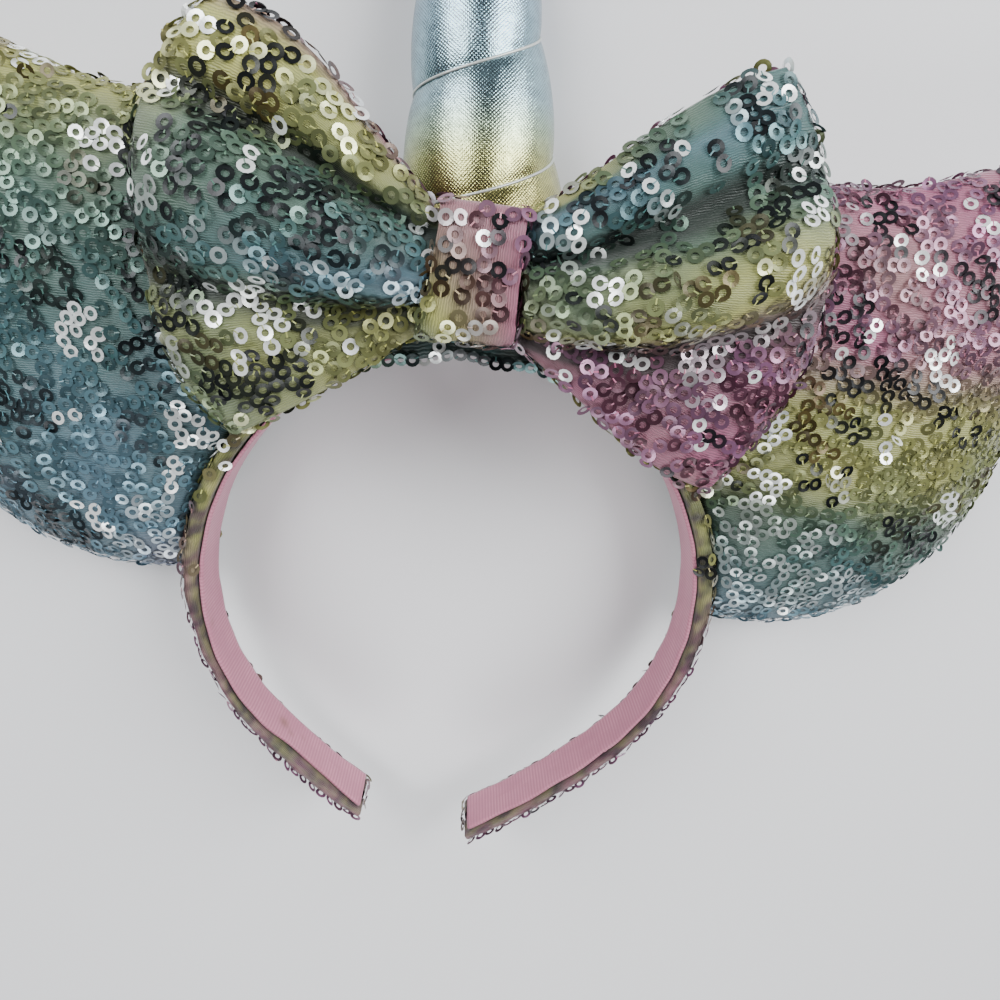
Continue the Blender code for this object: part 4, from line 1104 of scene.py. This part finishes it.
def build_knot(surface):
    """The loop round the bow's waist: a rounded rectangle seen from the side, carried across the
    knot's width with soft rolled edges and faint gathers."""
    around = np.linspace(0.0, 2 * np.pi, KNOT_RINGS["around"])
    up = signed_power(np.cos(around), KNOT_POWERS["up"])
    ahead = signed_power(np.sin(around), KNOT_POWERS["ahead"])
    section = np.linspace(0.0, 2 * np.pi, KNOT_RINGS["section"])[:-1, None]
    across = -signed_power(np.cos(section), KNOT_POWERS["edge"])
    outward = signed_power(np.sin(section), KNOT_POWERS["edge"])
    wall = KNOT_WALL / 2 * outward
    height = KNOT_HEIGHT / 2 - KNOT_WALL / 2 + wall
    depth = KNOT_DEPTH / 2 - KNOT_WALL / 2 + wall
    front = np.clip(np.sin(around), 0.0, 1.0) ** 0.5
    gather = np.sin(across * KNOT_GATHER["count"] + 0.6 * np.sin(2 * around))
    gather = gather * KNOT_GATHER["height"] * front * (outward > 0)
    width = (KNOT_WIDTH / 2 + KNOT_WAVE * np.sin(3 * around + 1.0)) * (1.0 - KNOT_SLANT * up)
    x = across * width + KNOT_LEAN * up
    y = height * up
    z = depth * ahead + gather
    points = np.stack(np.broadcast_arrays(x, y, z), axis=-1)[:, :-1] + KNOT_CENTRE
    lengths = around * (KNOT_HEIGHT + KNOT_DEPTH) / np.pi
    uv = np.stack(np.broadcast_arrays(lengths[None, :], across * KNOT_WIDTH / 2), axis=-1)
    uv = np.concatenate([uv, uv[:1]])
    lower = (1.0 - up) / 2
    left = np.clip(0.5 - across / 2, 0.0, 1.0)
    dye = KNOT_DYE["top"] + (KNOT_DYE["low_left"] * lower ** KNOT_DYE["power"] + KNOT_DYE["left"]) * left
    return skin("knot_loop", points, uv, surface, form="loop", dye=dye[:, :-1], shade=KNOT_SHADE)


# Sequins

class Chains:
    """Places for sequins, sewn in short chains that wander over a cover and keep off each other."""

    def __init__(self, cover, others, allowed, seed):
        self.cover = cover
        self.others = others
        self.allowed = allowed
        self.draw = np.random.default_rng(seed)
        self.cells = {}
        self.rows = []

    def cell(self, place):
        return tuple(int(v // CHAIN_STEP) for v in place)

    def is_free(self, place, before):
        a, b, c = self.cell(place)
        for i in (a - 1, a, a + 1):
            for j in (b - 1, b, b + 1):
                for k in (c - 1, c, c + 1):
                    for other in self.cells.get((i, j, k), ()):
                        if other is not before and (other - place).length < CHAIN_CLEAR:
                            return False
        return True

    def fits(self, place, normal, before):
        if not self.allowed(place, normal) or not self.is_free(place, before):
            return False
        return all(tree.find_nearest(place, OFF_OTHERS)[0] is None for tree in self.others)

    def sew(self, place, normal, heading, face):
        self.cells.setdefault(self.cell(place), []).append(place)
        self.rows.append((*place, *normal, *heading, face))

    def sew_near(self, start):
        place, normal, face, _ = self.cover["tree"].find_nearest(start)
        if self.is_free(place, None):
            heading = Vector(self.draw.normal(size=3))
            self.sew(place, normal, (heading - normal * heading.dot(normal)).normalized(), face)

    def walk(self, start, links):
        place, normal, face, _ = self.cover["tree"].find_nearest(start)
        if not self.fits(place, normal, None):
            return
        heading = Vector(self.draw.normal(size=3))
        for _ in range(links):
            heading = (heading - normal * heading.dot(normal)).normalized()
            self.sew(place, normal, heading, face)
            for turn in self.draw.normal(0.0, 1.0, CHAIN_TRIES):
                turned = Matrix.Rotation(turn, 3, normal) @ heading
                aim = place + turned * CHAIN_STEP
                found, found_normal, found_face, _ = self.cover["tree"].find_nearest(aim)
                if self.fits(found, found_normal, place):
                    place, normal, face, heading = found, found_normal, found_face, turned
                    break
            else:
                return

    def fill(self, density):
        """Walks chains from random places until there are density rings to a square metre."""
        points, faces = self.cover["points"], self.cover["faces"]
        quads = np.array([face if len(face) == 4 else (*face, face[-1]) for face in faces])
        corner = points[quads]
        spread = np.linalg.norm(np.cross(corner[:, 2] - corner[:, 0],
                                         corner[:, 3] - corner[:, 1]), axis=1) / 2
        wanted = density * spread.sum()
        chosen = self.draw.choice(len(quads), size=int(wanted * 2), p=spread / spread.sum())
        for start in corner[chosen].mean(axis=1):
            self.walk(Vector(start), int(self.draw.integers(*CHAIN_LINKS)))
            if len(self.rows) >= wanted:
                break
        return np.array(self.rows)


def edge_places():
    """Starts for rings that hang over the wrap's edges: rows of them along its corners, round its
    two tips, and under the knot. The columns are along, outward from the ribbon's face, and z."""
    back, front, step = -BAND_WIDTH / 2, BAND_WIDTH / 2, CHAIN_STEP
    inner, outer = BAND_INNER - RIBBON_RADIUS, BAND_OUTER - RIBBON_RADIUS
    fringe = OUTER_FRINGE
    rows = [(along, inner, back) for along in np.arange(RIGHT_FRINGE_FROM, RIGHT_TIP, step)]
    rows += [(-along, inner, back) for along in LEFT_FRINGE]
    rows += [(along, outer, front)
             for along in np.arange(fringe["right_from"], RIGHT_TIP, step * fringe["right_gap"])]
    rows += [(-along, outer, front)
             for along in np.arange(fringe["left_from"], -LEFT_TIP, step * fringe["left_gap"])]
    rows += [(along, -CROWN_LIP_HANG / 2, front)
             for along in np.arange(-CROWN_FRINGE_HALF, CROWN_FRINGE_HALF, step)]
    for tip in (LEFT_TIP, RIGHT_TIP):
        rows += [(tip, inner, z) for z in np.arange(back, front, step)]
        rows += [(tip * 0.988, (inner + outer) / 2, front), (tip * 0.975, inner, front)]
    along, outward, z = np.array(rows).T
    x, y = arc_point(along, outward)
    return np.stack([x, y, z], axis=-1) + ARC_CENTRE


def sequin_template():
    """One cupped ring: an outer edge, and an upper and a lower edge round the hole."""
    turn = np.linspace(0.0, 2 * np.pi, SEQUIN_SIDES + 1)[:-1]
    circle = np.stack([np.cos(turn), np.sin(turn)], axis=-1)
    levels = ((SEQUIN_RADIUS, SEQUIN_CUP), (SEQUIN_HOLE_RADIUS, SEQUIN_THICKNESS / 2),
              (SEQUIN_HOLE_RADIUS, -SEQUIN_THICKNESS / 2))
    points = np.concatenate([
        np.column_stack([circle * radius, np.full(SEQUIN_SIDES, height)]) for radius, height in levels
    ])
    outer = np.arange(SEQUIN_SIDES)
    ring = np.stack([outer, (outer + 1) % SEQUIN_SIDES], axis=-1)
    faces = np.concatenate([
        np.column_stack([ring + inside, ring[:, ::-1] + outside]) for inside, outside in (
            (0, SEQUIN_SIDES), (SEQUIN_SIDES, 2 * SEQUIN_SIDES), (2 * SEQUIN_SIDES, 0))
    ])
    return points, faces


def dye_colours(dye, which):
    """Linear colours read along the rainbow, shape (count, 3)."""
    stops = np.array([linear(code)[:3] for code in RAINBOW[which]])
    return np.stack([np.interp(dye, RAINBOW["at"], stops[:, k]) for k in range(3)], axis=-1)


def in_photograph(places):
    """Where places show in the photograph's frame of 1000 by 1000, from the camera's own vectors."""
    from_camera = places - np.array(CAMERA_PLACE)
    depth = from_camera @ np.array(CAMERA_FORWARD)
    scale = PHOTO_SIZE * CAMERA_LENS_MM / CAMERA_SENSOR_MM
    across = PHOTO_SIZE / 2 + scale * (from_camera @ np.array(CAMERA_RIGHT)) / depth
    down = PHOTO_SIZE / 2 - scale * (from_camera @ np.array(CAMERA_UP)) / depth
    return np.stack([across, down], axis=-1)


def clump_depth(places, rows):
    """How deep each place lies in the nearest clump of a tone: 1 on its middle line, 0 at its rim."""
    seen = in_photograph(places)
    best = np.full(len(places), NEVER)
    for from_x, from_y, to_x, to_y, reach in rows:
        start = np.array((from_x, from_y))
        run = np.array((to_x, to_y)) - start
        share = np.clip((seen - start) @ run / (run @ run), 0.0, 1.0)
        away = np.linalg.norm(seen - start - share[:, None] * run, axis=1)
        best = np.maximum(best, 1.0 - away / reach)
    return best


def foil_tints(places, dye, seed):
    """Colours of sequins. They come in clumps: some lie so that they look black or brown, a painted
    dark reflection; some glint white, pale or yellow, a painted glint; and the rest have the colour
    of the cloth under them."""
    draw = np.random.default_rng(seed)
    count = len(places)
    scatter = draw.normal(size=(len(CHANCE_CLUMPS), count)) * CHANCE_SPREAD
    rank = {"plain": np.zeros(count)}
    for k, (tone, clump) in enumerate(CHANCE_CLUMPS.items()):
        level = ripple(places, clump["length"], seed + k + 1) - clump["level"] + scatter[k]
        rank[tone] = np.clip(CHANCE_SLOPE * level, -1.0, CHANCE_MOST)
    from_middle = np.abs(in_photograph(places) - PHOTO_SIZE / 2)
    shown = (from_middle < (PHOTO_SHOWN_HALF_WIDTH, PHOTO_SIZE / 2)).all(axis=1)
    for tone, rows in CLUMPS.items():
        charted = clump_depth(places, rows)
        kept = np.where(charted > 0, CHARTED_LEAST + charted, NEVER)
        rank[tone] = np.maximum(rank.get(tone, NEVER) - QUIETER * shown, kept)
    names = list(rank)
    tone = np.argmax(np.stack(list(rank.values())), axis=0)
    own = dye_colours(dye, "foil") * draw.uniform(*OWN_LIGHT, (count, 1))
    black, white = np.array(linear(DARK_REFLECTION_TINT)[:3]), np.array(linear(GLINT_TINT)[:3])
    dark_own, glint, pale_glint = (draw.uniform(*span, (count, 1)) for span in (DARK_REFLECTION_OWN, WHITE_GLINT, PALE_GLINT_SHARE))
    tints = {
        "plain": own,
        # black and brown: painted dark reflection, with a little of the ring's own colour
        "black": black + own * dark_own,
        "brown": own * BROWN_DEPTH * np.array(BROWN_CAST),
        # white, pale and yellow: painted glints, the ring's colour lifted towards white
        "white": own + (white - own) * glint,
        "pale": own + (white - own) * pale_glint,
        "yellow": (own + (white - own) * YELLOW_LIGHT) * np.array(YELLOW_CAST),
        "bare": own,
    }
    chosen = np.stack([tints[name] for name in names])[tone, np.arange(count)]
    return chosen, tone != names.index("bare")


def build_sequins(name, cover, density, seed, surface, others, allowed, starts=()):
    """Rings on a cover: the template is turned to each place's frame, leaning forward along its
    chain so that each ring overlaps the one before. Tints, leans and rolls have seeds of their own,
    counted on from the cover's. Returns the rings, and a place, frame and colour for each stitch."""
    chains = Chains(cover, others, allowed, seed)
    for start in starts:
        chains.sew_near(Vector(start))
    rows = chains.fill(density)
    dye = np.array([cover["dye"][cover["faces"][int(k)]].mean() for k in rows[:, 9]])
    tint, kept = foil_tints(rows[:, 0:3], dye, seed + 70)
    rows, tint = rows[kept], tint[kept]
    places, normals, headings = rows[:, 0:3], rows[:, 3:6], rows[:, 6:9]
    draw = np.random.default_rng(seed + 50)
    count = len(rows)
    sides = np.cross(normals, headings)
    lean = SEQUIN_LEAN + SEQUIN_LEAN_SPREAD * draw.normal(size=count)
    roll = SEQUIN_ROLL * ripple(places, SEQUIN_ROLL_LENGTH, seed + 9)
    roll = roll + SEQUIN_ROLL_SPREAD * draw.normal(size=count)
    loose = draw.random(count) < LOOSE_SHARE
    lean = np.where(loose, np.radians(draw.uniform(*LOOSE_LEANS, count)), lean)
    up = normals + np.tan(lean)[:, None] * headings + np.tan(roll)[:, None] * sides
    up /= np.linalg.norm(up, axis=1)[:, None]
    first = headings - up * (headings * up).sum(axis=1)[:, None]
    first /= np.linalg.norm(first, axis=1)[:, None]
    second = np.cross(up, first)
    lift = SEQUIN_LIFT + SEQUIN_LIFT_SPREAD * draw.random(count)
    lift = lift + SEQUIN_RADIUS * 0.5 * np.abs(np.sin(lean))
    hole = places + normals * lift[:, None]
    template, ring_faces = sequin_template()
    size = draw.uniform(*SEQUIN_SIZES, (count, 1, 1))
    points = (template[None, :, 0:1] * first[:, None] + template[None, :, 1:2] * second[:, None]
              + template[None, :, 2:3] * up[:, None]) * size
    points = points + hole[:, None]
    points[..., 2] = np.maximum(points[..., 2], LOWEST)
    faces = ring_faces[None] + (np.arange(count) * len(template))[:, None, None]
    made = make_mesh(name, points.reshape(-1, 3), faces.reshape(-1, 4).tolist(), surface,
                     smooth=False)
    add_tint(made.data, np.repeat(tint, len(template), axis=0))
    thread = dye_colours(dye[kept], "cloth") * draw.uniform(*THREAD_LIGHT, (count, 1))
    return made, hole, up, headings, np.minimum(thread, THREAD_MOST)


def build_stitches(sewn, surface):
    """One short thread over most rings, from the hole to just past the outer edge: a flat bar."""
    hole, up, heading, tint = (np.concatenate(parts) for parts in list(zip(*sewn))[1:])
    kept = np.random.default_rng(5).random(len(hole)) < STITCHED_SHARE
    hole, up, heading, tint = hole[kept], up[kept], heading[kept], tint[kept]
    ahead = heading - up * (heading * up).sum(axis=1)[:, None]
    ahead /= np.linalg.norm(ahead, axis=1)[:, None]
    side = np.cross(up, ahead)
    corners = np.array([(-0.5, -0.5), (0.5, -0.5), (0.0, 0.5)]) * (STITCH_WIDTH, STITCH_THICKNESS)
    section = corners[:, 0, None] * side[:, None] + corners[:, 1, None] * up[:, None]
    start = hole + ahead * SEQUIN_HOLE_RADIUS * 0.8 + up * 0.07 * MM
    end = hole + ahead * SEQUIN_RADIUS * 1.03 + up * (SEQUIN_CUP + 0.03 * MM)
    points = np.concatenate([start[:, None] + section, end[:, None] + section], axis=1)
    points[..., 2] = np.maximum(points[..., 2], LOWEST)
    bar = np.array([[0, 1, 4, 3], [1, 2, 5, 4], [2, 0, 3, 5]])
    ends = np.array([[2, 1, 0], [3, 4, 5]])
    offset = (np.arange(len(points)) * 6)[:, None, None]
    faces = (bar[None] + offset).reshape(-1, 4).tolist()
    faces += (ends[None] + offset).reshape(-1, 3).tolist()
    made = make_mesh("sequin_stitches", points.reshape(-1, 3), faces, surface, smooth=False)
    add_tint(made.data, np.repeat(tint, 6, axis=0))
    return made


# Studio

def build_studio():
    """A pale floor, two soft boxes with a darker gap between them overhead, and a dim sky."""
    square = np.array([[-1, -1, 0], [1, -1, 0], [1, 1, 0], [-1, 1, 0]]) * FLOOR_HALF
    floor = make_mesh("floor", square, [[0, 1, 2, 3]], floor_paint(), smooth=False)
    floor.data.transform(Matrix.Translation((0.0, 0.0, -FLOOR_DROP)))
    for row in SOFTBOXES:
        light = bpy.data.lights.new(row["name"], "AREA")
        light.shape = "RECTANGLE"
        light.size, light.size_y = row["size"]
        light.energy = row["power"]
        made = bpy.data.objects.new(row["name"], light)
        bpy.context.scene.collection.objects.link(made)
        tilt_x, tilt_y = np.radians(row["across"]), np.radians(row["toward"])
        direction = Vector((np.tan(tilt_x), np.tan(tilt_y), 1.0)).normalized()
        made.location = direction * SOFTBOX_DISTANCE
        made.rotation_euler = direction.to_track_quat("Z", "Y").to_euler()
        made.visible_camera = False
    world = bpy.data.worlds.new("studio")
    bpy.context.scene.world = world
    world.use_nodes = True
    tree = world.node_tree
    direction = add(tree, "ShaderNodeTexCoord").outputs["Generated"]
    height = add(tree, "ShaderNodeSeparateXYZ", {0: direction}).outputs["Z"]
    sky = add(tree, "ShaderNodeValToRGB", {"Fac": height}, stops=[
        (0.0, "C9CDD2"), (0.35, "A9ADB1"), (0.8, "4A4C50"), (1.0, "202124")])
    background = tree.nodes["Background"]
    fill(tree, background, {"Color": sky.outputs[0], "Strength": SKY_STRENGTH})


def floor_paint():
    """Matt pale painted board."""
    made, tree, shader = new_material("matt_painted_board")
    fill(tree, shader, {"Base Color": linear("DCDDE0"), "Roughness": 0.7})
    return made


def build_camera():
    camera = bpy.data.cameras.new("camera")
    camera.sensor_width = CAMERA_SENSOR_MM
    camera.lens = CAMERA_LENS_MM
    camera.clip_start = 0.005
    made = bpy.data.objects.new("camera", camera)
    bpy.context.scene.collection.objects.link(made)
    turn = Matrix((CAMERA_RIGHT, CAMERA_UP, -CAMERA_FORWARD)).transposed().to_4x4()
    made.matrix_world = Matrix.Translation(CAMERA_PLACE) @ turn
    bpy.context.scene.camera = made


# What is sewn where

edge_draw = np.random.default_rng(17)


def on_ear(place, normal):
    return place.z > FLOOR_CLEAR


def on_band(place, normal):
    """On the outer face and over the back edge, and here and there on the front edge."""
    flat = Vector((place.x, place.y - ARC_CENTRE[1], 0.0))
    outward = normal.dot(flat.normalized())
    ahead = place.z - ARC_CENTRE[2]
    if ahead < -(BAND_WIDTH / 2 - 0.9 * MM):
        return outward > -0.85
    if ahead > BAND_WIDTH / 2 - 0.5 * MM and outward < 0.4:
        return edge_draw.random() < FRONT_EDGE_SHARE
    return outward > -0.1


def on_lobes(place, normal):
    return abs(place.x - KNOT_CENTRE[0]) > KNOT_WIDTH / 2


def on_knot(place, normal):
    outside = (place - Vector(KNOT_CENTRE)).dot(normal) > 0
    return place.z > KNOT_CENTRE[2] - 2 * MM and outside


def main():
    build_camera()
    build_studio()
    knit, film = dyed_knit(), sequin_film()
    covers = dict(
        band=build_band_wrap(knit),
        ribbon_lining=build_ribbon(pink_grosgrain()),
        ear_left=build_ear("ear_left_cover", -1.0, LEFT_EAR_DYE, 31, knit),
        ear_right=build_ear("ear_right_cover", 1.0, RIGHT_EAR_DYE, 37, knit),
        horn=build_horn(foil_lame()),
        groove_cord=build_groove_cord(groove_braid()),
        bow=build_bow(knit),
        bow_knot=build_knot(knit),
    )
    places = dict(ear_left=on_ear, ear_right=on_ear, bow=on_lobes, bow_knot=on_knot, band=on_band)
    starts = dict(band=edge_places())
    sewn = {}
    for row in SEWN:
        others = [covers[node]["tree"] for node in row["off"]]
        sewn[row["on"]] = build_sequins(row["name"], covers[row["on"]], row["density"], row["seed"], film,
                                        others, places[row["on"]], starts.get(row["on"], ()))
    stitches = build_stitches(sewn.values(), stitch_thread())

    piece = {node: cover["object"] for node, cover in covers.items()}
    for node, slot in SLOTS.items():
        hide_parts(node)
        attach(piece[node], "root")
    for part in (piece["groove_cord"], stitches, *(row[0] for row in sewn.values())):
        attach(part, "root")


main()
